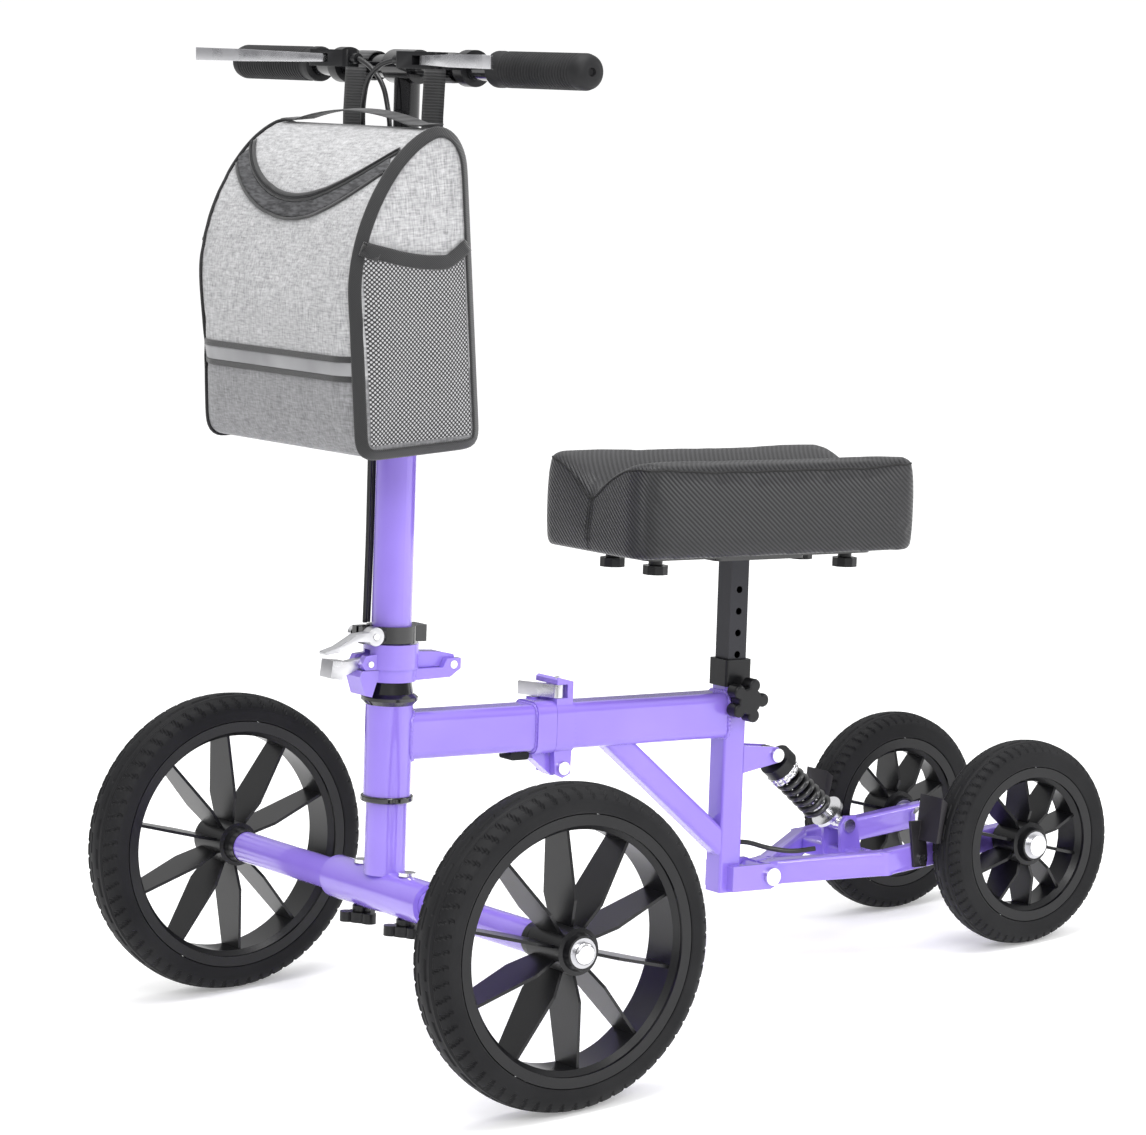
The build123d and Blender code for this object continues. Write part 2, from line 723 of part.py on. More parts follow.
strap_x = 70.0
strap_width = 38.0
strap_thickness = 2.4
bar_centre = spot(0, 0, bar_height) - Vector(0, -middle, 0)
with BuildPart() as straps:
    for side in (-1, 1):
        with BuildSketch(left_face(side * strap_x, 0, bar_height)):
            Circle(bar_radius + seat_gap + strap_thickness)
            Circle(bar_radius + seat_gap, mode=Mode.SUBTRACT)
        extrude(amount=strap_width / 2, both=True)
        # the run from the bar down the back of the bag
        with BuildSketch(Plane(origin=(side * strap_x, -middle, 0), x_dir=(0, 1, 0), z_dir=(1, 0, 0))):
            with BuildLine():
                near = bag_back + seat_gap
                loop_front = bar_centre.Y - bar_radius - seat_gap
                Polyline(
                    (loop_front - strap_thickness, bar_centre.Z), (loop_front, bar_centre.Z),
                    (near + strap_thickness, bag_top - 42), (near + strap_thickness, bag_top - 110),
                    (near, bag_top - 110), (near, bag_top - 42), close=True,
                )
            make_face()
        extrude(amount=strap_width / 2, both=True)
    # the carry handle arches over the lid
    with BuildSketch(Plane(origin=(bag_shift, 14 - middle, bag_top + seat_gap), x_dir=(-1, 0, 0), z_dir=(0, 1, 0))):
        with BuildLine():
            Polyline(
                (-128, 0), (-104, 0), (-70, 7), (0, 10), (70, 7), (104, 0), (128, 0), (128, strap_thickness),
                (105, strap_thickness), (71, 7 + strap_thickness), (0, 10 + strap_thickness),
                (-71, 7 + strap_thickness), (-105, strap_thickness), (-128, strap_thickness), close=True,
            )
        make_face()
    extrude(amount=11, both=True)
save(straps, "bag_straps")

# ---------------------------------------------------------------- rear frame
rear_tube_start = hinge_y + hinge_depth
seat_front = seat_y - seat_tube_size / 2
seat_back = seat_y + seat_tube_size / 2
with BuildPart() as rear_frame:
    with BuildSketch(rear_face(0, hinge_y + seat_gap, tube_level)):
        tube_section(3)
    extrude(amount=hinge_depth - seat_gap)
    with BuildSketch(rear_face(0, rear_tube_start - 1, tube_level)):
        tube_section()
        RectangleRounded(tube_width - 2 * tube_wall, tube_height - 2 * tube_wall, 9 - tube_wall,
                         mode=Mode.SUBTRACT)
    extrude(amount=seat_front + 2 - rear_tube_start)
    with BuildSketch(level(0, seat_y, seat_tube_foot)):
        RectangleRounded(seat_tube_size, seat_tube_size, 3)
    extrude(amount=seat_tube_top - seat_tube_foot)
    # diagonal brace from under the main tube to the foot of the seat tube
    brace_start = spot(0, rear_tube_start + 52, tube_level - tube_height / 2 + 10)
    brace_end = spot(0, seat_y, 12)
    with BuildSketch(Plane(origin=brace_start, x_dir=(1, 0, 0), z_dir=brace_end - brace_start)):
        RectangleRounded(24, 24, 5)
    extrude(amount=(brace_end - brace_start).length)
    # hinge forks either side of the front knuckle, and the block that carries the latch
    for side in (-1, 1):
        with BuildSketch(left_face(side * 12.5, 0, 0)):
            with BuildLine():
                Polyline(
                    (hinge_y + 1, tube_level - tube_height / 2 + 2), (hinge_y + 3, hinge_pin_level - 6),
                    (hinge_y + 12, hinge_pin_level - 10), (hinge_y + 21, hinge_pin_level - 6),
                    (rear_tube_start, tube_level - tube_height / 2 + 2), close=True,
                )
            make_face()
        extrude(amount=4, both=True)
    with BuildSketch(left_face(0, 0, tube_level + tube_height / 2)):
        with BuildLine():
            Polyline((hinge_y + 1, -1), (rear_tube_start - 2, -1), (rear_tube_start - 2, 22), (hinge_y + 4, 26),
                     (hinge_y + 1, 24), close=True)
        make_face()
    extrude(amount=19, both=True)
    # shock bracket cheeks and swing arm pivot cheeks behind the seat tube
    for side in (-1, 1):
        with BuildSketch(left_face(side * 10.8, 0, 0)):
            with BuildLine():
                Polyline(
                    (seat_back - 1, shock_top_level - 16), (seat_back - 1, shock_top_level + 12),
                    (shock_top_y + 2, shock_top_level + 8), (shock_top_y + 8, shock_top_level),
                    (shock_top_y + 2, shock_top_level - 8), close=True,
                )
            make_face()
        extrude(amount=1.8, both=True)
        with BuildSketch(left_face(side * 21, 0, 0)):
            with BuildLine():
                Polyline(
                    (seat_y - 4, swing_level - 13), (seat_y - 4, swing_level + 13), (swing_y, swing_level + 13),
                    (swing_y + 10, swing_level + 8), (swing_y + 12, swing_level), (swing_y + 10, swing_level - 8),
                    (swing_y, swing_level - 13), close=True,
                )
            make_face()
        extrude(amount=3, both=True)
        with BuildSketch(level(side * 15, seat_y + 4.5, swing_level)):
            Rectangle(14, 17)
        extrude(amount=13, both=True)
    with BuildSketch(level(0, seat_y, seat_tube_foot + 4)):
        Rectangle(seat_tube_bore, seat_tube_bore)
    extrude(amount=seat_tube_top - seat_tube_foot, mode=Mode.SUBTRACT)
    with BuildSketch(left_face(0, shock_top_y, shock_top_level)):
        Circle(4 + running)
    extrude(amount=30, both=True, mode=Mode.SUBTRACT)
    with BuildSketch(left_face(0, swing_y, swing_level)):
        Circle(swing_pivot_radius + running)
    extrude(amount=40, both=True, mode=Mode.SUBTRACT)
    with BuildSketch(left_face(0, hinge_y + 12, hinge_pin_level)):
        Circle(hinge_pin_radius + running)
    extrude(amount=30, both=True, mode=Mode.SUBTRACT)
    with BuildSketch(left_face(0, 0, 0)):
        with Locations((hinge_y + 12, hinge_pin_level)):
            Circle(12)
    extrude(amount=8.3, both=True, mode=Mode.SUBTRACT)
    with BuildSketch(left_face(0, seat_y, seat_tube_top - 12)):
        Circle(4.2)
    extrude(amount=30, mode=Mode.SUBTRACT)
    with BuildSketch(rear_face(0, seat_y, swing_level + 34)):
        Circle(3.3)
    extrude(amount=30, mode=Mode.SUBTRACT)
    # slot for the latch lever's eye, open to the front, and the hole for its pin
    with BuildSketch(level(0, hinge_y + 5, latch_pin_h + 6 - seat_gap)):
        Rectangle(60, 17)
    extrude(amount=13 + 2 * seat_gap, mode=Mode.SUBTRACT)
    with BuildSketch(level(13, hinge_y + 5, latch_pin_h)):
        Circle(2.5 + running)
    extrude(amount=30, mode=Mode.SUBTRACT)
save(rear_frame, "rear_frame")

with BuildPart() as hinge_pins:
    domed_bolt(spot(16.8, hinge_y + 12, hinge_pin_level), (1, 0, 0), 33.6, hinge_pin_radius, 6.5, 3, 0)
    with BuildSketch(left_face(-16.8, hinge_y + 12, hinge_pin_level)):
        Circle(6.5)
    extrude(amount=-3)
    with BuildSketch(level(13, hinge_y + 5, latch_pin_h)):
        Circle(2.5)
    extrude(amount=27)
save(hinge_pins, "frame_hinge_pins")

with BuildPart() as frame_latch:
    with BuildSketch(level(0, 0, latch_pin_h + 6)):
        with BuildLine():
            Polyline(
                (16, hinge_y), (-24, hinge_y - 17), (-26, hinge_y - 14), (-8, hinge_y - 5), (10, hinge_y + 10),
                close=True,
            )
        make_face()
        with Locations((13, hinge_y + 5)):
            Circle(6)
            Circle(2.5 + running, mode=Mode.SUBTRACT)
    extrude(amount=13)
save(frame_latch, "frame_latch_lever")

with BuildPart() as seat_collar:
    with BuildSketch(level(0, seat_y, seat_tube_top + seat_gap)):
        RectangleRounded(31, 31, 3)
    extrude(amount=seat_collar_height)
    with BuildSketch(level(0, seat_y, seat_tube_top)):
        Rectangle(post_size + 2 * sliding, post_size + 2 * sliding)
    extrude(amount=seat_collar_height + 5, mode=Mode.SUBTRACT)
save(seat_collar, "seat_tube_collar")

knob_x = seat_tube_size / 2 + seat_gap
with BuildPart() as seat_knob:
    with BuildSketch(left_face(knob_x, seat_y, seat_tube_top - 12)):
        Circle(11)
    extrude(amount=10)
    with BuildSketch(left_face(knob_x + 10, seat_y, seat_tube_top - 12)):
        Circle(14)
        with PolarLocations(16, 5):
            Circle(7)
    extrude(amount=14)
    fillet(seat_knob.faces().sort_by(Axis.X)[-1].edges(), radius=2.5)
    with BuildSketch(left_face(knob_x, seat_y, seat_tube_top - 12)):
        Circle(3.2)
    extrude(amount=-(knob_x - post_size / 2 - sliding))
save(seat_knob, "seat_knob")

# ---------------------------------------------------------------- seat post and knee pad
with BuildPart() as seat_post:
    with BuildSketch(level(0, seat_y, 64)):
        Rectangle(post_size, post_size)
        Rectangle(post_bore, post_bore, mode=Mode.SUBTRACT)
    extrude(amount=pad_base - 8 - 64)
    for number in range(-4, 6):
        with BuildSketch(left_face(0, seat_y, seat_tube_top - 12 + number * post_hole_pitch)):
            Circle(3.6)
        extrude(amount=20, mode=Mode.SUBTRACT)
save(seat_post, "seat_post")

knob_rows = (pad_y - 118, pad_y + 118)
with BuildPart() as pad_plate:
    with BuildSketch(level(0, seat_y, pad_base - 8)):
        RectangleRounded(90, 110, 6)
    extrude(amount=4)
    with BuildSketch(level(0, pad_y, pad_base - 4)):
        RectangleRounded(110, 280, 10)
    extrude(amount=3.7)
    with BuildSketch(level(0, seat_y, pad_base - 10)):
        for side in (-1, 1):
            for y in knob_rows:
                with Locations((side * 37, y - seat_y)):
                    Circle(3.2)
    extrude(amount=12, mode=Mode.SUBTRACT)
save(pad_plate, "pad_plate")

with BuildPart() as pad_knobs:
    for side in (-1, 1):
        for y in knob_rows:
            with BuildSketch(level(side * 37, y, pad_base - 4)):
                Circle(7)
            extrude(amount=-6)
            with BuildSketch(level(side * 37, y, pad_base - 10)):
                RegularPolygon(13, 10)
            extrude(amount=-9)
            with BuildSketch(level(side * 37, y, pad_base - 4)):
                Circle(3)
            extrude(amount=4)
save(pad_knobs, "pad_knobs")

with BuildPart() as knee_pad:
    with BuildSketch(rear_face(0, pad_y - pad_length / 2, pad_base)):
        with BuildLine():
            Polyline(
                (-pad_width / 2, 0), (pad_width / 2, 0), (pad_width / 2, pad_height - 10),
                (pad_width / 2 - 16, pad_height), (26, pad_height - pad_channel_depth),
                (-26, pad_height - pad_channel_depth), (16 - pad_width / 2, pad_height),
                (-pad_width / 2, pad_height - 10), close=True,
            )
        make_face()
    extrude(amount=pad_length)
    corners = knee_pad.edges().filter_by(lambda e: abs((e % 0.5).dot(up)) > 0.99)
    fillet(corners, radius=38)
save(knee_pad, "knee_pad")

# ---------------------------------------------------------------- swing arm
rear_axle_y = (rear_axle - front_axle).dot(back)
rear_axle_h = (rear_axle - front_axle).dot(up)
arm_knee_y = swing_y + 17
arm_bend_y = swing_y + 108
arm_inner = rear_track / 2 - rear_hub_half - 3 - arm_width / 2
with BuildPart() as swing_arm:
    with BuildSketch(left_face(0, swing_y, swing_level)):
        Circle(11)
    extrude(amount=17.7, both=True)
    for side in (-1, 1):
        nose = spot(side * (arm_width / 2 - 0.3), swing_y, swing_level)
        knee = spot(side * (arm_width / 2 - 0.3), arm_knee_y, swing_level + 2)
        bend = spot(side * arm_inner, arm_bend_y, swing_level + 14)
        tail = spot(side * arm_inner, rear_axle_y + 14, rear_axle_h + 1)
        for start, end in ((nose, knee), (knee, bend), (bend, tail)):
            with BuildSketch(Plane(origin=start, x_dir=Vector(side, 0, 0), z_dir=end - start)):
                RectangleRounded(arm_width, arm_height, 4)
            extrude(amount=(end - start).length)
        for corner in (knee, bend):
            with BuildSketch(Plane(origin=corner + Vector(0, 0, arm_height / 2 - 0.5), z_dir=(0, 0, -1))):
                Circle(arm_width / 2)
            extrude(amount=arm_height - 1)
    # cross tube between the arms, with the two cheeks that hold the foot of the shock
    with BuildSketch(left_face(0, shock_foot_y + 8, swing_level + 12)):
        RectangleRounded(26, 16, 3)
    extrude(amount=arm_inner, both=True)
    for side in (-1, 1):
        with BuildSketch(left_face(side * 14, 0, 0)):
            with BuildLine():
                Polyline(
                    (shock_foot_y - 8, swing_level + 8), (shock_foot_y - 10, shock_foot_level),
                    (shock_foot_y - 4, shock_foot_level + 10), (shock_foot_y + 10, shock_foot_level + 10),
                    (shock_foot_y + 20, swing_level + 8), close=True,
                )
            make_face()
        extrude(amount=2, both=True)
        with BuildSketch(left_face(side * arm_inner, rear_axle_y, rear_axle_h)):
            Circle(axle_radius + running)
        extrude(amount=arm_width, both=True, mode=Mode.SUBTRACT)
        with BuildSketch(left_face(side * arm_inner, rear_axle_y - 110, swing_level + 17)):
            Circle(3.05)
        extrude(amount=arm_width, both=True, mode=Mode.SUBTRACT)
    with BuildSketch(left_face(0, shock_foot_y, shock_foot_level)):
        Circle(4 + running)
    extrude(amount=30, both=True, mode=Mode.SUBTRACT)
    with BuildSketch(left_face(0, swing_y, swing_level)):
        Circle(swing_pivot_radius + running)
    extrude(amount=30, both=True, mode=Mode.SUBTRACT)
save(swing_arm, "swing_arm")

with BuildPart() as suspension_bolts:
    domed_bolt(spot(24.3, swing_y, swing_level), (1, 0, 0), 56, swing_pivot_radius, 9, 4, 6)
    domed_bolt(spot(13.3, shock_top_y, shock_top_level), (1, 0, 0), 34, 4, 7, 3, 6)
save(suspension_bolts, "suspension_bolts")

rear_outer = rear_track / 2 + rear_hub_half
with BuildPart() as rear_axle_bolts:
    for side in (-1, 1):
        head = rear_axle + Vector(side * rear_outer, 0, 0)
        reach = rear_outer - arm_inner + arm_width / 2 + 9
        domed_bolt(head, (side, 0, 0), reach, axle_radius, axle_head_radius, 5, 8)
save(rear_axle_bolts, "rear_axle_bolts")

with BuildPart() as rear_spacers:
    for side in (-1, 1):
        with BuildSketch(Plane(origin=rear_axle + Vector(side * (arm_inner + arm_width / 2), 0, 0), z_dir=(side, 0, 0))):
            Circle(10)
            Circle(axle_radius + running, mode=Mode.SUBTRACT)
        extrude(amount=3 - seat_gap)
save(rear_spacers, "rear_axle_spacers")

# ---------------------------------------------------------------- shock absorber
shock_line = spot(0, shock_foot_y, shock_foot_level) - spot(0, shock_top_y, shock_top_level)
shock_length = shock_line.length
shock_dir = shock_line.normalized()
shock_top = spot(0, shock_top_y, shock_top_level)


def along_shock(distance):
    """Plane across the shock, its normal pointing down to the foot."""
    return Plane(origin=shock_top + shock_dir * distance, x_dir=(1, 0, 0), z_dir=shock_dir)


spring_start = 22.0
spring_end = shock_length - 22.0
with BuildPart() as shock_body:
    with BuildSketch(left_face(0, shock_top_y, shock_top_level)):
        Circle(8)
    extrude(amount=8.6, both=True)
    with BuildSketch(along_shock(4)):
        Circle(7)
    extrude(amount=10)
    with BuildSketch(along_shock(10)):
        Circle(spring_radius + 2)
    extrude(amount=spring_start - 10)
    with BuildSketch(along_shock(spring_start - 1)):
        Circle(9)
    extrude(amount=48)
    with BuildSketch(left_face(0, shock_top_y, shock_top_level)):
        Circle(4 + running)
    extrude(amount=12, both=True, mode=Mode.SUBTRACT)
    with BuildSketch(along_shock(spring_start + 4)):
        Circle(5 + sliding)
    extrude(amount=60, mode=Mode.SUBTRACT)
save(shock_body, "shock_body")

with BuildPart() as shock_rod:
    with BuildSketch(along_shock(spring_start + 20)):
        Circle(5)
    extrude(amount=shock_length - spring_start - 24)
    with BuildSketch(along_shock(spring_end)):
        Circle(spring_radius + 2)
    extrude(amount=4)
    with BuildSketch(along_shock(spring_end + 3)):
        Circle(7)
    extrude(amount=14)
    with BuildSketch(left_face(0, shock_foot_y, shock_foot_level)):
        Circle(8)
    extrude(amount=11.6, both=True)
    with BuildSketch(left_face(0, shock_foot_y, shock_foot_level)):
        Circle(4.6)
    extrude(amount=14, both=True, mode=Mode.SUBTRACT)
save(shock_rod, "shock_rod")

coil_length = spring_end - spring_start - spring_wire - 2 * seat_gap
coil_start = shock_top + shock_dir * (spring_start + spring_wire / 2 + seat_gap)
with BuildPart() as spring:
    with BuildLine() as coil:
        Helix(pitch=coil_length / spring_turns, height=coil_length, radius=spring_radius - spring_wire / 2,
              center=coil_start, direction=shock_dir)
    with BuildSketch(Plane(origin=coil.line @ 0, z_dir=coil.line % 0)):
        Circle(spring_wire / 2)
    sweep(is_frenet=True)
save(spring, "shock_spring")

# ---------------------------------------------------------------- rear brake shoes
shoe_pivot_y = rear_axle_y - 110
shoe_pivot_h = swing_level + 17


def make_brake_shoe(side, name):
    """Bent plate that swings on a bolt through the arm and presses the front of the tyre."""
    wheel_x = side * rear_track / 2
    plate_x = side * (arm_inner + arm_width / 2 + seat_gap)
    with BuildPart() as shoe:
        with BuildSketch(left_face(plate_x, 0, 0)):
            with BuildLine():
                Polyline(
                    (shoe_pivot_y - 9, shoe_pivot_h - 8), (shoe_pivot_y + 7, shoe_pivot_h - 8),
                    (shoe_pivot_y + 8, shoe_pivot_h + 4), (shoe_pivot_y + 2, shoe_pivot_h + 40),
                    (shoe_pivot_y - 16, shoe_pivot_h + 40), (shoe_pivot_y - 12, shoe_pivot_h + 10), close=True,
                )
            make_face()
            with Locations((shoe_pivot_y, shoe_pivot_h)):
                Circle(3 + running, mode=Mode.SUBTRACT)
        extrude(amount=side * 4)
        hub = rear_axle + Vector(wheel_x, 0, 0)
        with BuildSketch(Plane(origin=hub - Vector(side * (rear_tyre_width / 2 + 9), 0, 0), x_dir=(0, 1, 0), z_dir=(1, 0, 0))):
            with BuildLine():
                outer = rear_wheel_radius + shoe_gap + 6
                inner = rear_wheel_radius + shoe_gap
                first, last = radians(153), radians(172)
                Polyline(
                    (outer * cos(first) - 2, outer * sin(first) + 10), (inner * cos(first), inner * sin(first) + 6),
                    (inner * cos((first + last) / 2), inner * sin((first + last) / 2)),
                    (inner * cos(last), inner * sin(last)), (outer * cos(last), outer * sin(last)),
                    (outer * cos((first + last) / 2), outer * sin((first + last) / 2)), close=True,
                )
            make_face()
        extrude(amount=side * (rear_tyre_width * 0.62 + 9))
    save(shoe, name)


for side, word in sides:
    make_brake_shoe(side, f"rear_brake_shoe_{word}")

with BuildPart() as swing_arm_bolts:
    domed_bolt(spot(16.3, shock_foot_y, shock_foot_level), (1, 0, 0), 40, 4, 7, 3, 6)
    for side in (-1, 1):
        head = spot(side * (arm_inner + arm_width / 2 + 4 + 2 * seat_gap), shoe_pivot_y, shoe_pivot_h)
        domed_bolt(head, (side, 0, 0), arm_width + 10, 3, 5.5, 2.5, 4)
save(swing_arm_bolts, "swing_arm_bolts")

rear_cable_points = [
    (0, seat_back + 0.4, swing_level + 34), (3, seat_back + 16, swing_level + 33),
    (12, seat_back + 34, swing_level + 27), (26, seat_back + 54, swing_level + 24),
    (34, seat_back + 78, swing_level + 27),
]
make_cable(rear_cable_points, 2.5, "rear_brake_cable")
print("shock", round(shock_length, 1), "rear axle", round(rear_axle_y, 1), round(rear_axle_h, 1),
      "angle", round(degrees(atan2(shock_line.Z, hypot(shock_line.X, shock_line.Y))), 1))
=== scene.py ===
import bmesh
import bpy
from math import atan2, cos, pi, radians, sin, sqrt
from mathutils import Matrix, Vector
from mathutils.bvhtree import BVHTree


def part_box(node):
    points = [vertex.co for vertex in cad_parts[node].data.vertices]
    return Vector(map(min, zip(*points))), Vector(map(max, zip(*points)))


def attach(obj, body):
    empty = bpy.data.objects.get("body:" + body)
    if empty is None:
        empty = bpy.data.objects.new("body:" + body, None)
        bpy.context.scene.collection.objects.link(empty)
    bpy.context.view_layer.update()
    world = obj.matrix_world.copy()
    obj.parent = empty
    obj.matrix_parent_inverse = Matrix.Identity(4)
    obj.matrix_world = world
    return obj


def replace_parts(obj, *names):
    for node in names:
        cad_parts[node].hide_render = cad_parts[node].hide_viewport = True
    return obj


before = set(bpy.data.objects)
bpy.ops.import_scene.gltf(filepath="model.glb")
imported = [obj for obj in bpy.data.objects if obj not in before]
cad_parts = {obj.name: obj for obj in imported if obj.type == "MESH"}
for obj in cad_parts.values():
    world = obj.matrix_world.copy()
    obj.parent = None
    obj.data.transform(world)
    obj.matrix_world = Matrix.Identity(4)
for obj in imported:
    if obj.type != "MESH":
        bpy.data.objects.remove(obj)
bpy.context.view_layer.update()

# ---------------------------------------------------------------- camera
# A long lens a little above the handlebar's shoulder, off the rider's front left, rolled by two
# degrees. The scooter fills most of the frame.
view_azimuth = radians(55.91)
view_elevation = radians(9.09)
view_roll = radians(-2.27)
camera_place = Vector((3.5806, -2.5181, 1.1305))

towards_camera = Vector((
    sin(view_azimuth) * cos(view_elevation),
    -cos(view_azimuth) * cos(view_elevation),
    sin(view_elevation),
))
camera_level = Vector((cos(view_azimuth), sin(view_azimuth), 0))
camera_rise = towards_camera.cross(camera_level)
camera_right = camera_level * cos(view_roll) + camera_rise * sin(view_roll)
camera_up = camera_rise * cos(view_roll) - camera_level * sin(view_roll)
camera_data = bpy.data.cameras.new("camera")
camera_data.lens = 139.87
camera_data.sensor_width = 36
camera_data.sensor_fit = "HORIZONTAL"
camera = bpy.data.objects.new("camera", camera_data)
turn = Matrix((camera_right, camera_up, towards_camera)).transposed().to_4x4()
camera.matrix_world = Matrix.Translation(camera_place) @ turn
bpy.context.collection.objects.link(camera)
bpy.context.scene.camera = camera

# ---------------------------------------------------------------- studio
# A white floor that glows a little and runs out of sight, one broad soft light overhead, a
# second one from the front left and a weak fill behind, so that shadows stay pale.
floor_reach = 150
floor_corners = [(x * floor_reach, y * floor_reach, 0) for x, y in ((-1, -1), (1, -1), (1, 1), (-1, 1))]
floor_mesh = bpy.data.meshes.new("floor")
floor_mesh.from_pydata(floor_corners, [], [(0, 1, 2, 3)])
floor = bpy.data.objects.new("floor", floor_mesh)
bpy.context.collection.objects.link(floor)


def new_finish(name, colour, roughness, metallic=0.0):
    """A material with its principled shader set, returned with its tree and shader."""
    finish = bpy.data.materials.new(name)
    finish.use_nodes = True
    tree = finish.node_tree
    shader = tree.nodes["Principled BSDF"]
    shader.inputs["Base Color"].default_value = (*colour, 1)
    shader.inputs["Roughness"].default_value = roughness
    shader.inputs["Metallic"].default_value = metallic
    return finish, tree, shader


paper_white, _, paper_shader = new_finish("paper_white", (0.93, 0.93, 0.93), 0.9)
paper_shader.inputs["Emission Color"].default_value = (1, 1, 1, 1)
paper_shader.inputs["Emission Strength"].default_value = 0.28
floor.data.materials.append(paper_white)


def soft_light(name, place, aim, size, watts):
    """A square area light at a place, turned to its aim."""
    lamp = bpy.data.lights.new(name, "AREA")
    lamp.size = size
    lamp.energy = watts
    lamp_object = bpy.data.objects.new(name, lamp)
    lamp_object.location = place
    lamp_object.rotation_euler = (Vector(aim) - Vector(place)).to_track_quat("-Z", "Y").to_euler()
    bpy.context.collection.objects.link(lamp_object)


soft_light("overhead", (0.4, -0.3, 3.2), (0, 0, 0.4), 2.2, 70)
soft_light("front_left", (3.4, -1.2, 2.4), (0, 0, 0.5), 1.4, 60)
soft_light("rear_left", (2.2, 3.4, 1.6), (0, 0, 0.4), 0.9, 36)

# The room is bright above and dimmer round the walls, so glossy tubes show dark edges.
world = bpy.data.worlds.new("studio")
world.use_nodes = True
world_tree = world.node_tree
room = world_tree.nodes.new("ShaderNodeTexCoord")
room_axes = world_tree.nodes.new("ShaderNodeSeparateXYZ")
room_ramp = world_tree.nodes.new("ShaderNodeValToRGB")
room_ramp.color_ramp.elements[0].position = 0.05
room_ramp.color_ramp.elements[0].color = (0.22, 0.22, 0.23, 1)
room_ramp.color_ramp.elements[1].position = 0.55
room_ramp.color_ramp.elements[1].color = (1, 1, 1, 1)
world_tree.links.new(room.outputs["Generated"], room_axes.inputs["Vector"])
world_tree.links.new(room_axes.outputs["Z"], room_ramp.inputs["Fac"])
world_tree.links.new(room_ramp.outputs["Color"], world_tree.nodes["Background"].inputs["Color"])
world_tree.nodes["Background"].inputs["Strength"].default_value = 0.9
bpy.context.scene.world = world
bpy.context.scene.view_settings.view_transform = "Standard"


# ---------------------------------------------------------------- painted frame
# Welded aluminium tubes and castings in one glossy lavender powder coat. The coat has a faint
# orange-peel ripple and goes a little deeper in tone from one stretch of tube to the next.
def object_noise(tree, scale, detail=2.0, stretch=(1, 1, 1)):
    """A noise texture that is fixed to the piece, and may be stretched along its axes."""
    place = tree.nodes.new("ShaderNodeTexCoord")
    mapping = tree.nodes.new("ShaderNodeMapping")
    mapping.inputs["Scale"].default_value = stretch
    noise = tree.nodes.new("ShaderNodeTexNoise")
    noise.inputs["Scale"].default_value = scale
    noise.inputs["Detail"].default_value = detail
    tree.links.new(place.outputs["Object"], mapping.inputs["Vector"])
    tree.links.new(mapping.outputs["Vector"], noise.inputs["Vector"])
    return noise


def add_bump(tree, shader, height, strength, distance):
    """Relief on a shader from a height socket."""
    bump = tree.nodes.new("ShaderNodeBump")
    bump.inputs["Strength"].default_value = strength
    bump.inputs["Distance"].default_value = distance
    tree.links.new(height, bump.inputs["Height"])
    tree.links.new(bump.outputs["Normal"], shader.inputs["Normal"])


def vary(tree, noise, socket, low, high):
    """Drive a colour or number socket between two values by a noise."""
    ramp = tree.nodes.new("ShaderNodeValToRGB")
    ramp.color_ramp.elements[0].position = 0.35
    ramp.color_ramp.elements[1].position = 0.65
    ramp.color_ramp.elements[0].color = (*low, 1)
    ramp.color_ramp.elements[1].color = (*high, 1)
    tree.links.new(noise.outputs["Fac"], ramp.inputs["Fac"])
    tree.links.new(ramp.outputs["Color"], socket)


lavender, tree, shader = new_finish("lavender_paint", (0.27, 0.18, 0.72), 0.24)
shader.inputs["Coat Weight"].default_value = 0.8
shader.inputs["Coat Roughness"].default_value = 0.06
vary(tree, object_noise(tree, 9), shader.inputs["Base Color"], (0.255, 0.165, 0.69), (0.29, 0.195, 0.76))
add_bump(tree, shader, object_noise(tree, 420).outputs["Fac"], 0.05, 0.0006)


def refinish(finish, *nodes):
    """Give frame pieces their finish."""
    for node in nodes:
        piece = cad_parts[node]
        piece.data.materials.clear()
        piece.data.materials.append(finish)


refinish(lavender, "front_frame", "rear_frame")

# The whole upper structure leans back by the headset's angle about the front axle.
axle_low, axle_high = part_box("front_axle_bolts")
front_axle = (Vector(axle_low) + Vector(axle_high)) / 2
lean = radians(5)
up_column = Vector((0, sin(lean), cos(lean)))
back_frame = Vector((0, cos(lean), -sin(lean)))


def spot(x, y, h):
    """A point x to the left, y back from the column and h up it, from the front axle."""
    return front_axle + Vector((x, 0, 0)) + back_frame * y + up_column * h


def add_mesh(name, bm, finish, body, smooth=True):
    """Turn a bmesh into a piece that rides on a body."""
    mesh = bpy.data.meshes.new(name)
    bm.to_mesh(mesh)
    bm.free()
    for face in mesh.polygons:
        face.use_smooth = smooth
    mesh.materials.append(finish)
    piece = bpy.data.objects.new(name, mesh)
    bpy.context.collection.objects.link(piece)
    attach(piece, body)
    return piece


def sweep_ring(bm, points, radius, sides=8, closed=True):
    """A round bead along points, its radius a number or a function of the point's number."""
    count = len(points)
    rings = []
    for i, here in enumerate(points):
        before = points[i - 1] if closed or i > 0 else here
        after = points[(i + 1) % count] if closed or i < count - 1 else here
        along = (after - before).normalized()
        side = (side - along * side.dot(along) if rings else along.orthogonal()).normalized()
        other = along.cross(side)
        r = radius(i) if callable(radius) else radius
        angles = [2 * pi * k / sides for k in range(sides)]
        rings.append([bm.verts.new(here + (side * cos(angle) + other * sin(angle)) * r) for angle in angles])
    for i in range(count if closed else count - 1):
        one, two = rings[i], rings[(i + 1) % count]
        for k in range(sides):
            bm.faces.new((one[k], one[(k + 1) % sides], two[(k + 1) % sides], two[k]))
    if not closed:
        bm.faces.new(rings[0][::-1])
        bm.faces.new(rings[-1])


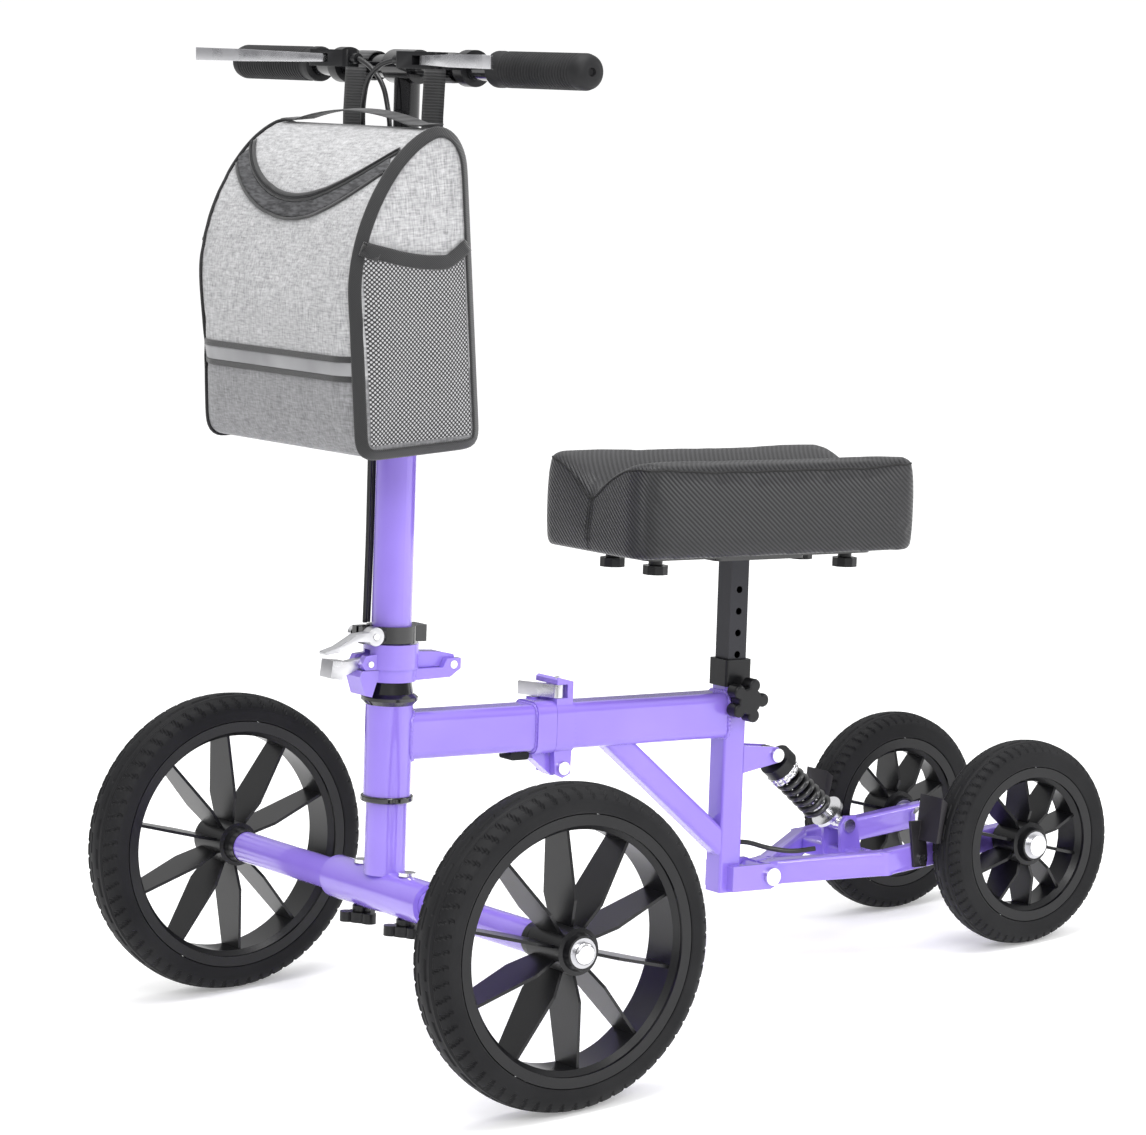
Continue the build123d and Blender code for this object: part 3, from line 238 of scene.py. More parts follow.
def rounded_loop(width, height, corner, per_corner=6):
    """Points round a rounded rectangle, as pairs about its centre."""
    loop = []
    for quarter in range(4):
        cx = (width / 2 - corner) * (1 if quarter in (0, 3) else -1)
        cy = (height / 2 - corner) * (1 if quarter in (0, 1) else -1)
        for step in range(per_corner + 1):
            angle = pi / 2 * (quarter + step / per_corner)
            loop.append((cx + corner * cos(angle), cy + corner * sin(angle)))
    return loop


def dense(points, step):
    """Points spread evenly along a closed loop."""
    out = []
    for one, two in zip(points, points[1:] + points[:1]):
        parts = max(1, round((two - one).length / step))
        out += [one.lerp(two, k / parts) for k in range(parts)]
    return out


def weld_bead(name, loop, body, size=0.0024):
    """A stacked weld bead round a joint between two tubes, painted over."""
    bm = bmesh.new()
    sweep_ring(bm, dense(loop, 0.0011), lambda i: size * (0.86 + 0.14 * cos(i * pi / 2)))
    add_mesh(name, bm, lavender, body)


tube_loop = rounded_loop(0.038, 0.046, 0.009)
weld_bead("weld_head_tube", [spot(x, sqrt(0.0232**2 - x**2), 0.151 + h) for x, h in tube_loop], "front_frame")
weld_bead("weld_seat_tube", [spot(x, 0.3928, 0.151 + h) for x, h in tube_loop], "rear_frame")
weld_bead("weld_front_casting", [spot(x, 0.1588, 0.151 + h) for x, h in tube_loop], "front_frame", 0.0018)
weld_bead("weld_rear_casting", [spot(x, 0.2032, 0.151 + h) for x, h in tube_loop], "rear_frame", 0.0018)

# ---------------------------------------------------------------- headset
# Turned cups with a deep gloss black finish, over plain steel bearings, and a rubber stop under
# the frame hinge.
gloss_black, tree, shader = new_finish("gloss_black", (0.004, 0.004, 0.005), 0.16)
shader.inputs["Coat Weight"].default_value = 0.6
shader.inputs["Coat Roughness"].default_value = 0.05
add_bump(tree, shader, object_noise(tree, 500).outputs["Fac"], 0.04, 0.0004)
refinish(gloss_black, "headset_cups", "height_collar", "handlebar", "handlebar_stem", "pad_plate")

bearing_steel, tree, shader = new_finish("bearing_steel", (0.50, 0.50, 0.52), 0.34, 1.0)
add_bump(tree, shader, object_noise(tree, 60, 3, (1, 1, 12)).outputs["Fac"], 0.06, 0.0004)
refinish(bearing_steel, "headset_bearings", "front_wheel_bearings", "rear_wheel_bearings",
         "rear_axle_spacers")

soft_rubber, tree, shader = new_finish("soft_rubber", (0.008, 0.008, 0.009), 0.58)
shader.inputs["Specular IOR Level"].default_value = 0.3
vary(tree, object_noise(tree, 30), shader.inputs["Base Color"], (0.006, 0.006, 0.007), (0.012, 0.012, 0.013))
add_bump(tree, shader, object_noise(tree, 900).outputs["Fac"], 0.18, 0.0005)
refinish(soft_rubber, "frame_fold_stop")

# ---------------------------------------------------------------- front axle
# A lavender sleeve across the foot of the column, two axle tubes slid into it, polished domed
# bolts through each, and three-lobed black knobs below.
polished_steel, tree, shader = new_finish("polished_steel", (0.76, 0.76, 0.78), 0.16, 1.0)
vary(tree, object_noise(tree, 22), shader.inputs["Roughness"], (0.12, 0.12, 0.12), (0.24, 0.24, 0.24))
add_bump(tree, shader, object_noise(tree, 90, 2, (1, 14, 1)).outputs["Fac"], 0.04, 0.0003)
refinish(lavender, "steering_column", "front_axle_tubes")
refinish(polished_steel, "axle_lock_bolts", "front_axle_bolts", "rear_axle_bolts", "column_fold_pin",
         "column_latch_pin", "height_release_bolt", "frame_hinge_pins", "suspension_bolts", "swing_arm_bolts")

moulded_black, tree, shader = new_finish("moulded_black", (0.005, 0.005, 0.006), 0.30)
shader.inputs["Specular IOR Level"].default_value = 0.35
vary(tree, object_noise(tree, 14), shader.inputs["Base Color"], (0.004, 0.004, 0.005), (0.007, 0.007, 0.008))
add_bump(tree, shader, object_noise(tree, 700).outputs["Fac"], 0.10, 0.0004)
refinish(moulded_black, "front_axle_end_caps", "axle_lock_knobs", "seat_tube_collar", "seat_knob",
         "pad_knobs", "shock_body")

# ---------------------------------------------------------------- wheels
# Black moulded wheels with ten flat blades, a dished rim and a stepped hub. Each end of the hub
# is closed by a domed cap round the axle bolt.
refinish(moulded_black, "front_wheel_left", "front_wheel_right", "rear_wheel_left", "rear_wheel_right")

# ---------------------------------------------------------------- tyres
# Solid rubber tyres, moulded with slanted shoulder blocks and two rows of dashes along the crown.
tyre_rubber, tree, shader = new_finish("tyre_rubber", (0.006, 0.006, 0.0065), 0.58)
shader.inputs["Specular IOR Level"].default_value = 0.22
vary(tree, object_noise(tree, 12, 4), shader.inputs["Base Color"], (0.004, 0.004, 0.005),
     (0.010, 0.010, 0.011))
add_bump(tree, shader, object_noise(tree, 1100).outputs["Fac"], 0.22, 0.0004)


def tyre_profile(width, radius, bead):
    """Half-open outline from one bead over the crown to the other, as (across, radius) pairs."""
    half = width / 2
    shoulder = 0.30 * width
    outline = [(-half + 0.0038, bead), (-half + 0.0004, bead + 0.0006), (-half, bead + 0.002)]
    wall_top = radius - shoulder
    for step in range(1, 7):
        outline.append((-half, bead + 0.002 + (wall_top - bead - 0.002) * step / 7))
    for step in range(13):
        angle = pi / 2 * step / 12
        across = -half + shoulder * 1.15 * (1 - cos(angle))
        outline.append((across, wall_top + shoulder * 0.93 * sin(angle)))
    crown = outline[-1]
    for step in range(1, 8):
        share = step / 7
        outline.append((crown[0] * (1 - share), crown[1] + (radius - crown[1]) * sin(share * pi / 2)))
    return outline + [(-x, r) for x, r in outline[-2::-1]]


def tread_depth(across, half, turn, blocks, depth):
    """How far the rubber is cut back at a place on the tread."""
    share = abs(across) / half
    phase = (turn * blocks + share * 0.9 * (1 if across > 0 else -1)) % 1.0
    if 0.52 < share < 0.97:
        return depth if phase < 0.22 else 0.0
    if 0.42 < share <= 0.52:
        return depth * 0.8
    dash = (turn * blocks / 2 + (0.5 if across > 0 else 0)) % 1.0
    if 0.14 < share < 0.24 and dash < 0.62:
        return depth * 0.8
    return 0.0


def make_tyre(node, body, radius, width, blocks, depth, per_block=9):
    """A treaded tyre in place of the plain one."""
    low, high = (Vector(corner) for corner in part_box(node))
    centre = (low + high) / 2
    bead = radius - 0.026
    outline = tyre_profile(width, radius, bead)
    columns = blocks * per_block
    wall = radius - 0.30 * width
    bm = bmesh.new()
    grid = []
    for c in range(columns):
        turn = c / columns
        angle = 2 * pi * turn
        row = []
        for across, r in outline:
            cut = tread_depth(across, width / 2, turn, blocks, depth) if r > wall - 0.002 else 0.0
            inward = cut * 0.35 * (1 if across > 0 else -1) if abs(across) > width * 0.4 else 0.0
            reach = r - cut
            place = Vector((across - inward, reach * cos(angle), reach * sin(angle)))
            row.append(bm.verts.new(centre + place))
        grid.append(row)
    for c in range(columns):
        one, two = grid[c], grid[(c + 1) % columns]
        for k in range(len(outline) - 1):
            bm.faces.new((one[k], two[k], two[k + 1], one[k + 1]))
        bm.faces.new((one[-1], two[-1], two[0], one[0]))
    tyre = add_mesh(node + "_treaded", bm, tyre_rubber, body, smooth=False)
    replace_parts(tyre, node)


for word in ("left", "right"):
    make_tyre("front_tyre_" + word, "front_roller_" + word, 0.152, 0.054, 64, 0.0017)
    make_tyre("rear_tyre_" + word, "rear_roller_" + word, 0.106, 0.042, 60, 0.0013)

# ---------------------------------------------------------------- column fold and stem
# Two cast halves hinged at the back and drawn together in front by a forged silver latch. The
# black anodised post rises from the upper half and the lavender stem slides over it.
refinish(lavender, "column_fold_casting", "stem_tube")
refinish(gloss_black, "inner_post")

cast_silver, tree, shader = new_finish("cast_silver", (0.66, 0.66, 0.68), 0.30, 1.0)
vary(tree, object_noise(tree, 40), shader.inputs["Roughness"], (0.24, 0.24, 0.24), (0.40, 0.40, 0.40))
add_bump(tree, shader, object_noise(tree, 260).outputs["Fac"], 0.10, 0.0005)


def round_edges(node, width, body, finish, segments=3):
    """A softened copy of a cast piece, its sharp edges rounded over, in place of the plain one."""
    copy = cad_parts[node].copy()
    copy.data = copy.data.copy()
    copy.name = node + "_softened"
    bpy.context.collection.objects.link(copy)
    bm = bmesh.new()
    bm.from_mesh(copy.data)
    bmesh.ops.remove_doubles(bm, verts=bm.verts, dist=0.00002)
    bmesh.ops.dissolve_limit(bm, angle_limit=radians(2), verts=bm.verts, edges=bm.edges)
    sharp = [edge for edge in bm.edges if len(edge.link_faces) == 2 and edge.calc_face_angle() > radians(28)]
    bmesh.ops.bevel(bm, geom=sharp, offset=width, segments=segments, profile=0.6, affect="EDGES",
                    clamp_overlap=True)
    bm.to_mesh(copy.data)
    bm.free()
    for face in copy.data.polygons:
        face.use_smooth = True
    copy.data.set_sharp_from_angle(angle=radians(35))
    copy.data.materials.clear()
    copy.data.materials.append(finish)
    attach(copy, body)
    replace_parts(copy, node)
    return copy


round_edges("column_latch_lever", 0.0022, "column_latch", cast_silver)
round_edges("height_release_lever", 0.0016, "height_release", cast_silver)
round_edges("frame_latch_lever", 0.0010, "frame_latch", cast_silver)

# ---------------------------------------------------------------- handlebar grips
# Moulded rubber grips with fine rings, a thicker collar at the inner end and a small hole in
# each rounded end.
grip_low, grip_high = (Vector(corner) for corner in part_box("handlebar_grips"))
bar_centre = (grip_low + grip_high) / 2
grip_end = (grip_high.x - grip_low.x) / 2
grip_length = 0.150


def make_grip(side):
    """One grip: a lathe-turned skin round the bar."""
    outline = [(grip_end - 0.0032, 0.0), (grip_end - 0.0030, 0.0032), (grip_end - 0.0004, 0.0042),
               (grip_end, 0.0080), (grip_end - 0.0016, 0.0125), (grip_end - 0.0055, 0.0157),
               (grip_end - 0.0100, 0.0168)]
    start = grip_end - 0.014
    ribs = 26
    pitch = 0.0046
    for rib in range(ribs):
        x = start - rib * pitch
        outline += [(x, 0.0168), (x - pitch * 0.45, 0.0168), (x - pitch * 0.58, 0.0160),
                    (x - pitch * 0.88, 0.0160)]
    foot = grip_end - grip_length
    outline += [(foot + 0.009, 0.0166), (foot + 0.008, 0.0170), (foot + 0.001, 0.0170), (foot, 0.0160),
                (foot, 0.0113)]
    bm = bmesh.new()
    around = 48
    angles = [2 * pi * k / around for k in range(around)]
    rings = []
    for x, r in outline:
        circle = [Vector((side * x, r * cos(angle), r * sin(angle))) for angle in angles]
        rings.append([bm.verts.new(bar_centre + place) for place in circle])
    for one, two in zip(rings, rings[1:]):
        for k in range(around):
            bm.faces.new((one[k], one[(k + 1) % around], two[(k + 1) % around], two[k]))
    bmesh.ops.remove_doubles(bm, verts=bm.verts, dist=0.00002)
    bmesh.ops.recalc_face_normals(bm, faces=bm.faces)
    grip = add_mesh("grip_" + ("left" if side > 0 else "right"), bm, soft_rubber, "stem")
    grip.data.set_sharp_from_angle(angle=radians(40))
    return grip


for side in (1, -1):
    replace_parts(make_grip(side), "handlebar_grips")

# ---------------------------------------------------------------- brake levers
# Cast and tumbled aluminium blades on black clamps. Each blade thickens towards its tip, where
# the fingers pull.
tumbled_alloy, tree, shader = new_finish("tumbled_alloy", (0.72, 0.72, 0.74), 0.24, 1.0)
vary(tree, object_noise(tree, 30), shader.inputs["Roughness"], (0.18, 0.18, 0.18), (0.30, 0.30, 0.30))
add_bump(tree, shader, object_noise(tree, 300).outputs["Fac"], 0.05, 0.0004)
for word in ("left", "right"):
    blade = round_edges("brake_lever_" + word, 0.0026, "lever_" + word, tumbled_alloy)
    blade_low, blade_high = (Vector(corner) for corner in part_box("brake_lever_" + word))
    blade_middle = (blade_low.z + blade_high.z) / 2
    to_room = blade.matrix_world.copy()
    to_blade = to_room.inverted()
    for vertex in blade.data.vertices:
        place = to_room @ vertex.co
        share = min(1.0, max(0.0, (abs(place.x) - 0.105) / 0.10))
        middle = blade_middle + (place.y - (blade_low.y + blade_high.y) / 2) * -sin(lean)
        place.z = middle + (place.z - middle) * (1 + 0.55 * share)
        vertex.co = to_blade @ place
round_edges("brake_lever_mounts", 0.0012, "stem", moulded_black)

# ---------------------------------------------------------------- brake cables
# Steel cables in a smooth black plastic jacket, led from the levers down the front of the stem
# to the height collar, with a short one at the rear brakes.
cable_jacket, tree, shader = new_finish("cable_jacket", (0.012, 0.012, 0.013), 0.30)
add_bump(tree, shader, object_noise(tree, 500).outputs["Fac"], 0.05, 0.0003)
refinish(cable_jacket, "brake_cable_left", "brake_cable_right", "rear_brake_cable")

# ---------------------------------------------------------------- knee pad plate and post
# A black pressed plate under the pad, held by four fluted knobs, on a square post in dark
# anodising whose holes set the height.
dark_post, tree, shader = new_finish("dark_post", (0.035, 0.035, 0.040), 0.30, 0.7)
add_bump(tree, shader, object_noise(tree, 70, 2, (14, 14, 1)).outputs["Fac"], 0.05, 0.0003)
refinish(dark_post, "seat_post")

# ---------------------------------------------------------------- swing arm and suspension
# A lavender welded fork, a coil spring in black over a black damper with two bright adjuster
# rings at its top, and steel brake shoes just ahead of the rear tyres.
round_edges("swing_arm", 0.0035, "swing", lavender)
refinish(polished_steel, "shock_rod")
spring_black, tree, shader = new_finish("spring_black", (0.015, 0.015, 0.016), 0.30)
shader.inputs["Coat Weight"].default_value = 0.4
add_bump(tree, shader, object_noise(tree, 600).outputs["Fac"], 0.08, 0.0003)
shock_line = Vector((0, 0.7062, -0.7080))
spring_low, spring_high = (Vector(corner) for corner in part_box("shock_spring"))
spring_middle = (spring_low + spring_high) / 2
shock_up = Vector((1, 0, 0)).cross(shock_line)


def shock_ring(along, radius, angle):
    """A place round the shock's line."""
    across = Vector((cos(angle), 0, 0)) + shock_up * sin(angle)
    return spring_middle + shock_line * along + across * radius


coil_turns, coil_length, coil_steps = 6.5, 0.061, 312
bm = bmesh.new()
sweep_ring(bm, [shock_ring(coil_length * (k / coil_steps - 0.5), 0.0128, 2 * pi * coil_turns * k / coil_steps)
                for k in range(coil_steps + 1)], 0.0031, 12, closed=False)
coil = add_mesh("shock_coil", bm, spring_black, "damper")
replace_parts(coil, "shock_spring")
for number, (along, radius, bead) in enumerate(((-0.0325, 0.0150, 0.0022), (-0.0365, 0.0142, 0.0026))):
    bm = bmesh.new()
    sweep_ring(bm, [shock_ring(along, radius + 0.0007 * cos(12 * 2 * pi * k / 96), 2 * pi * k / 96)
                    for k in range(96)], bead, 10)
    add_mesh(f"shock_adjuster_{number}", bm, polished_steel, "damper")
shoe_steel, tree, shader = new_finish("shoe_steel", (0.03, 0.028, 0.032), 0.36, 0.5)
add_bump(tree, shader, object_noise(tree, 300).outputs["Fac"], 0.10, 0.0004)
for word in ("left", "right"):
    round_edges("rear_brake_shoe_" + word, 0.0008, "shoe_" + word, shoe_steel)

# ---------------------------------------------------------------- knee pad
# A foam block under black twill vinyl: two bolsters with a shallow valley between them, sewn
# round the top edge and down the middle of the front.
pad_width, pad_length = 0.176, 0.348
pad_middle, pad_foot, pad_crest, valley_depth = 0.400, 0.3208, 0.4150, 0.032

twill_vinyl, tree, shader = new_finish("twill_vinyl", (0.012, 0.012, 0.013), 0.40)
shader.inputs["Specular IOR Level"].default_value = 0.35
shader.inputs["Sheen Weight"].default_value = 0.08
shader.inputs["Sheen Roughness"].default_value = 0.5
place = tree.nodes.new("ShaderNodeTexCoord")
twill = tree.nodes.new("ShaderNodeTexWave")
twill.bands_direction = "DIAGONAL"
twill.inputs["Scale"].default_value = 120
twill.inputs["Distortion"].default_value = 0.25
twill.inputs["Detail Scale"].default_value = 3
tree.links.new(place.outputs["Object"], twill.inputs["Vector"])
ramp = tree.nodes.new("ShaderNodeValToRGB")
ramp.color_ramp.elements[0].position = 0.30
ramp.color_ramp.elements[0].color = (0.005, 0.005, 0.006, 1)
ramp.color_ramp.elements[1].position = 0.70
ramp.color_ramp.elements[1].color = (0.026, 0.026, 0.028, 1)
tree.links.new(twill.outputs["Fac"], ramp.inputs["Fac"])
tree.links.new(ramp.outputs["Color"], shader.inputs["Base Color"])
add_bump(tree, shader, twill.outputs["Fac"], 0.6, 0.0008)

black_thread, tree, shader = new_finish("black_thread", (0.006, 0.006, 0.006), 0.7)
add_bump(tree, shader, object_noise(tree, 1500).outputs["Fac"], 0.3, 0.0004)


def pad_top(x):
    """Height of the pad's top across its width: a bolster each side of the valley."""
    share = min(1.0, max(0.0, (abs(x) - 0.004) / 0.070))
    rise = share * (1.6 - 0.6 * share)
    fall = max(0.0, (abs(x) - 0.074) / 0.020)
    return pad_crest - valley_depth * (1 - rise) - 0.004 * fall * fall


def stacked_form(bm, loops):
    """Skin a run of equal closed loops, closing both ends."""
    rings = [[bm.verts.new(p) for p in loop] for loop in loops]
    for one, two in zip(rings, rings[1:]):
        for k in range(len(one)):
            bm.faces.new((one[k], one[(k + 1) % len(one)], two[(k + 1) % len(one)], two[k]))
    bm.faces.new(rings[0][::-1])
    bm.faces.new(rings[-1])


def swell(piece, voxel, pressure, cap, held):
    """Fill a closed fabric form with air for a moment, no point moving further than cap."""
    for other in bpy.context.selected_objects:
        other.select_set(False)
    bpy.context.view_layer.objects.active = piece
    piece.select_set(True)
    remesh = piece.modifiers.new("remesh", "REMESH")
    remesh.mode = "VOXEL"
    remesh.voxel_size = voxel
    bpy.ops.object.modifier_apply(modifier=remesh.name)
    relax = piece.modifiers.new("relax", "SMOOTH")
    relax.iterations = 3
    bpy.ops.object.modifier_apply(modifier=relax.name)
    start = [v.co.copy() for v in piece.data.vertices]
    group = piece.vertex_groups.new(name="held")
    group.add([v.index for v in piece.data.vertices if held(v.co)], 1.0, "REPLACE")
    cloth = piece.modifiers.new("cloth", "CLOTH")
    cloth.settings.use_pressure = True
    cloth.settings.uniform_pressure_force = pressure
    cloth.settings.effector_weights.gravity = 0
    cloth.settings.vertex_group_mass = "held"
    cloth.settings.tension_stiffness = 25
    cloth.settings.compression_stiffness = 25
    cloth.settings.bending_stiffness = 2
    cloth.point_cache.frame_end = 20
    for number in range(1, 21):
        bpy.context.scene.frame_set(number)
    shape = piece.evaluated_get(bpy.context.evaluated_depsgraph_get()).data
    moved = [v.co.copy() for v in shape.vertices]
    piece.modifiers.remove(cloth)
    for vertex, before, after in zip(piece.data.vertices, start, moved):
        step = after - before
        vertex.co = before + step * min(1.0, cap / max(step.length, 1e-9))
    bpy.context.scene.frame_set(1)
    finer = piece.modifiers.new("finer", "SUBSURF")
    finer.levels = 1
    finer.render_levels = 1
    bpy.ops.object.modifier_apply(modifier=finer.name)
    for face in piece.data.polygons:
        face.use_smooth = True


pad_corners = [Vector((x, y, 0)) for x, y in rounded_loop(pad_width, pad_length, 0.024, 8)]
pad_outline = [(place.x, place.y) for place in dense(pad_corners, 0.006)]
bm = bmesh.new()
pad_loops = [[spot(x * 0.98, pad_middle + y * 0.99, pad_foot) for x, y in pad_outline]]
for share in (0.06, 0.3, 0.6, 0.82):
    bulge = 1 + 0.012 * sin(pi * share)
    pad_loops.append([
        spot(x * bulge, pad_middle + y * bulge, pad_foot + (pad_top(x) - 0.004 - pad_foot) * share)
        for x, y in pad_outline
    ])
for shrink, drop in ((0.995, 0.006), (0.975, 0.0018), (0.94, 0.0)):
    pad_loops.append([spot(x * shrink, pad_middle + y * shrink, pad_top(x * shrink) - drop)
                      for x, y in pad_outline])
for shrink in (0.85, 0.72, 0.58, 0.44, 0.30, 0.16, 0.04):
    pad_loops.append([spot(x * shrink, pad_middle + y * (0.94 - (0.94 - shrink) * 0.55), pad_top(x * shrink))
                      for x, y in pad_outline])
stacked_form(bm, pad_loops)
bmesh.ops.recalc_face_normals(bm, faces=bm.faces)
pad = add_mesh("knee_pad_cover", bm, twill_vinyl, "seat")
swell(pad, 0.0040, 2.0, 0.0022, lambda p: (p - spot(0, 0, 0)).dot(up_column) < pad_foot + 0.004)
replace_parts(pad, "knee_pad")


def surface_of(piece):
    """A finder of places on a finished surface."""
    return BVHTree.FromObject(piece, bpy.context.evaluated_depsgraph_get())


def onto(surface, start, direction, lift):
    """Where a line from start first meets a surface, raised off it by lift."""
    place, normal, face, reach = surface.ray_cast(start, direction)
    if place is None:
        place, normal, face, reach = surface.find_nearest(start)
    return place + normal * lift


def even_run(points, count, closed=False):
    """Points spread evenly along a run of straight stretches."""
    run = points + points[:1] if closed else points
    lengths = [(b - a).length for a, b in zip(run, run[1:])]
    total = sum(lengths)
    out = []
    for k in range(count if closed else count + 1):
        left = total * k / count
        for a, b, length in zip(run, run[1:], lengths):
            if left <= length or b is run[-1]:
                out.append(a.lerp(b, min(1.0, left / max(length, 1e-9))))
                break
            left -= length
    return out


pad_surface = surface_of(pad)
seam = []
seam_outline = rounded_loop(pad_width * 0.975, pad_length * 0.985, 0.022, 14)
seam_corners = [Vector((x, y, 0)) for x, y in seam_outline]
for place in dense(seam_corners, 0.004):
    seam.append(onto(pad_surface, spot(place.x, pad_middle + place.y, 0.45), -up_column, 0.0))
bm = bmesh.new()
sweep_ring(bm, even_run(seam, 420, True), 0.0011, 6)
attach(add_mesh("pad_top_seam", bm, black_thread, "seat"), "seat")

bm = bmesh.new()
stitch_levels = (0.324, 0.334, 0.344, 0.354, 0.364, 0.372, 0.376)
for across, bead in ((0.0, 0.0008), (-0.004, 0.0004), (0.004, 0.0004)):
    stitches = [onto(pad_surface, spot(across, 0.15, h), back_frame, 0.0) for h in stitch_levels]
    sweep_ring(bm, stitches, bead, 6, closed=False)
add_mesh("pad_front_seam", bm, black_thread, "seat")

# ---------------------------------------------------------------- handlebar bag
# A soft cooler-style bag sewn from heather polyester over thin foam. Its front and lid are one
# panel that rolls back over the top; the ends are flat gussets joined to it by a folded binding.
bag_low, bag_high = (Vector(corner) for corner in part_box("bag"))
bag_centre_x = (bag_low.x + bag_high.x) / 2
bag_half = (bag_high.x - bag_low.x) / 2 - 0.003
bag_front, bag_back = bag_low.y + 0.002, bag_high.y - 0.001
bag_foot, bag_top = bag_low.z + 0.002, bag_high.z - 0.001
lower_seam, upper_seam = 0.666, 0.684

heather, tree, shader = new_finish("heather_cloth", (0.4, 0.4, 0.41), 0.85)
shader.inputs["Sheen Weight"].default_value = 0.3
across_threads = object_noise(tree, 620, 2, (0.16, 0.16, 1.0))
upright_threads = object_noise(tree, 620, 2, (1.0, 1.0, 0.16))
cloud = object_noise(tree, 45, 3)
weave = tree.nodes.new("ShaderNodeMath")
weave.operation = "ADD"
tree.links.new(across_threads.outputs["Fac"], weave.inputs[0])
tree.links.new(upright_threads.outputs["Fac"], weave.inputs[1])
blend = tree.nodes.new("ShaderNodeMath")
blend.operation = "MULTIPLY_ADD"
blend.inputs[1].default_value = 0.25
tree.links.new(cloud.outputs["Fac"], blend.inputs[0])
tree.links.new(weave.outputs[0], blend.inputs[2])
tone = tree.nodes.new("ShaderNodeValToRGB")
tone.color_ramp.elements[0].position = 0.35
tone.color_ramp.elements[0].color = (0.17, 0.17, 0.175, 1)
tone.color_ramp.elements[1].position = 0.85
tone.color_ramp.elements[1].color = (0.62, 0.62, 0.63, 1)
half = tree.nodes.new("ShaderNodeMath")
half.operation = "MULTIPLY"
half.inputs[1].default_value = 0.5
tree.links.new(blend.outputs[0], half.inputs[0])
tree.links.new(half.outputs[0], tone.inputs["Fac"])
# Painted shade: all cloth below the lower seam is multiplied down to 0.55 of its tone, standing in for the
# shade on the bag's lower front.
height = tree.nodes.new("ShaderNodeSeparateXYZ")
place = tree.nodes.new("ShaderNodeTexCoord")
tree.links.new(place.outputs["Object"], height.inputs["Vector"])
below = tree.nodes.new("ShaderNodeMath")
below.operation = "LESS_THAN"
below.inputs[1].default_value = lower_seam
tree.links.new(height.outputs["Z"], below.inputs[0])
painted_shade_below_seam = tree.nodes.new("ShaderNodeMix")
painted_shade_below_seam.data_type = "RGBA"
painted_shade_below_seam.blend_type = "MULTIPLY"
painted_shade_below_seam.inputs["B"].default_value = (0.55, 0.55, 0.56, 1)
tree.links.new(below.outputs[0], painted_shade_below_seam.inputs["Factor"])
tree.links.new(tone.outputs["Color"], painted_shade_below_seam.inputs["A"])
tree.links.new(painted_shade_below_seam.outputs["Result"], shader.inputs["Base Color"])
add_bump(tree, shader, weave.outputs[0], 0.30, 0.0006)


def bezier(a, b, c, d, parts):
    """Points along one cubic curve, its last point left out."""
    out = []
    for k in range(parts):
        t = k / parts
        first, second, third, last = (1 - t)**3, 3 * (1 - t)**2 * t, 3 * (1 - t) * t * t, t**3
        out.append(tuple(first * a[i] + second * b[i] + third * c[i] + last * d[i] for i in (0, 1)))
    return out


shoulder = bag_top - 0.150
bag_outline = []
for curve_points, parts in (
    (((bag_front, shoulder), (bag_front, shoulder + 0.062), (bag_front + 0.048, bag_top - 0.013),
      (bag_front + 0.098, bag_top)), 16),
    (((bag_front + 0.098, bag_top), (bag_front + 0.120, bag_top + 0.001), (bag_back, bag_top - 0.016),
      (bag_back, bag_top - 0.046)), 8),
    (((bag_back, bag_top - 0.046), (bag_back, bag_top - 0.13), (bag_back, bag_foot + 0.10),
      (bag_back, bag_foot + 0.014)), 16),
    (((bag_back, bag_foot + 0.014), (bag_back, bag_foot + 0.003), (bag_back - 0.004, bag_foot),
      (bag_back - 0.016, bag_foot)), 6),
    (((bag_back - 0.016, bag_foot), (bag_back - 0.05, bag_foot), (bag_front + 0.05, bag_foot),
      (bag_front + 0.018, bag_foot)), 8),
    (((bag_front + 0.018, bag_foot), (bag_front + 0.006, bag_foot), (bag_front, bag_foot + 0.006),
      (bag_front, bag_foot + 0.020)), 6),
    (((bag_front, bag_foot + 0.020), (bag_front, bag_foot + 0.05), (bag_front, shoulder - 0.05),
      (bag_front, shoulder)), 12),
):
    bag_outline += bezier(*curve_points, parts)
bag_middle = ((bag_front + bag_back) / 2, (bag_foot + bag_top) / 2)


def stem_hollow(y, z, x):
    """The back panel is pressed forward where the leaning stem passes."""
    near = max(0.0, min(1.0, (0.036 - abs(x)) / 0.008))
    wall = front_axle.y + (z - front_axle.z) * sin(lean) - 0.0395
    return min(y, y + (wall - y) * near)


def bag_loop(x, shrink):
    """The bag's outline at one place across its width, drawn in at the ends."""
    loop = []
    for y, z in bag_outline:
        y2 = bag_middle[0] + (y - bag_middle[0]) * (1 - shrink / 0.067)
        z2 = bag_middle[1] + (z - bag_middle[1]) * (1 - shrink / 0.149)
        loop.append(Vector((bag_centre_x + x, stem_hollow(y2, z2, bag_centre_x + x), z2)))
    return loop


bm = bmesh.new()
steps = 56
bag_loops = [bag_loop(-bag_half, 0.0035)]
for k in range(steps + 1):
    bag_loops.append(bag_loop((bag_half - 0.0035) * (2 * k / steps - 1), 0.0))
bag_loops.append(bag_loop(bag_half, 0.0035))
stacked_form(bm, bag_loops)
bmesh.ops.recalc_face_normals(bm, faces=bm.faces)
bag = add_mesh("handlebar_bag", bm, heather, "stem")
swell(bag, 0.0055, 2.0, 0.005, lambda p: (p.y > bag_back - 0.012 or p.z < bag_foot + 0.006
                                          or abs(p.x) < 0.04 and p.y > bag_front + 0.03))
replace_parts(bag, "bag")
bag_surface = surface_of(bag)

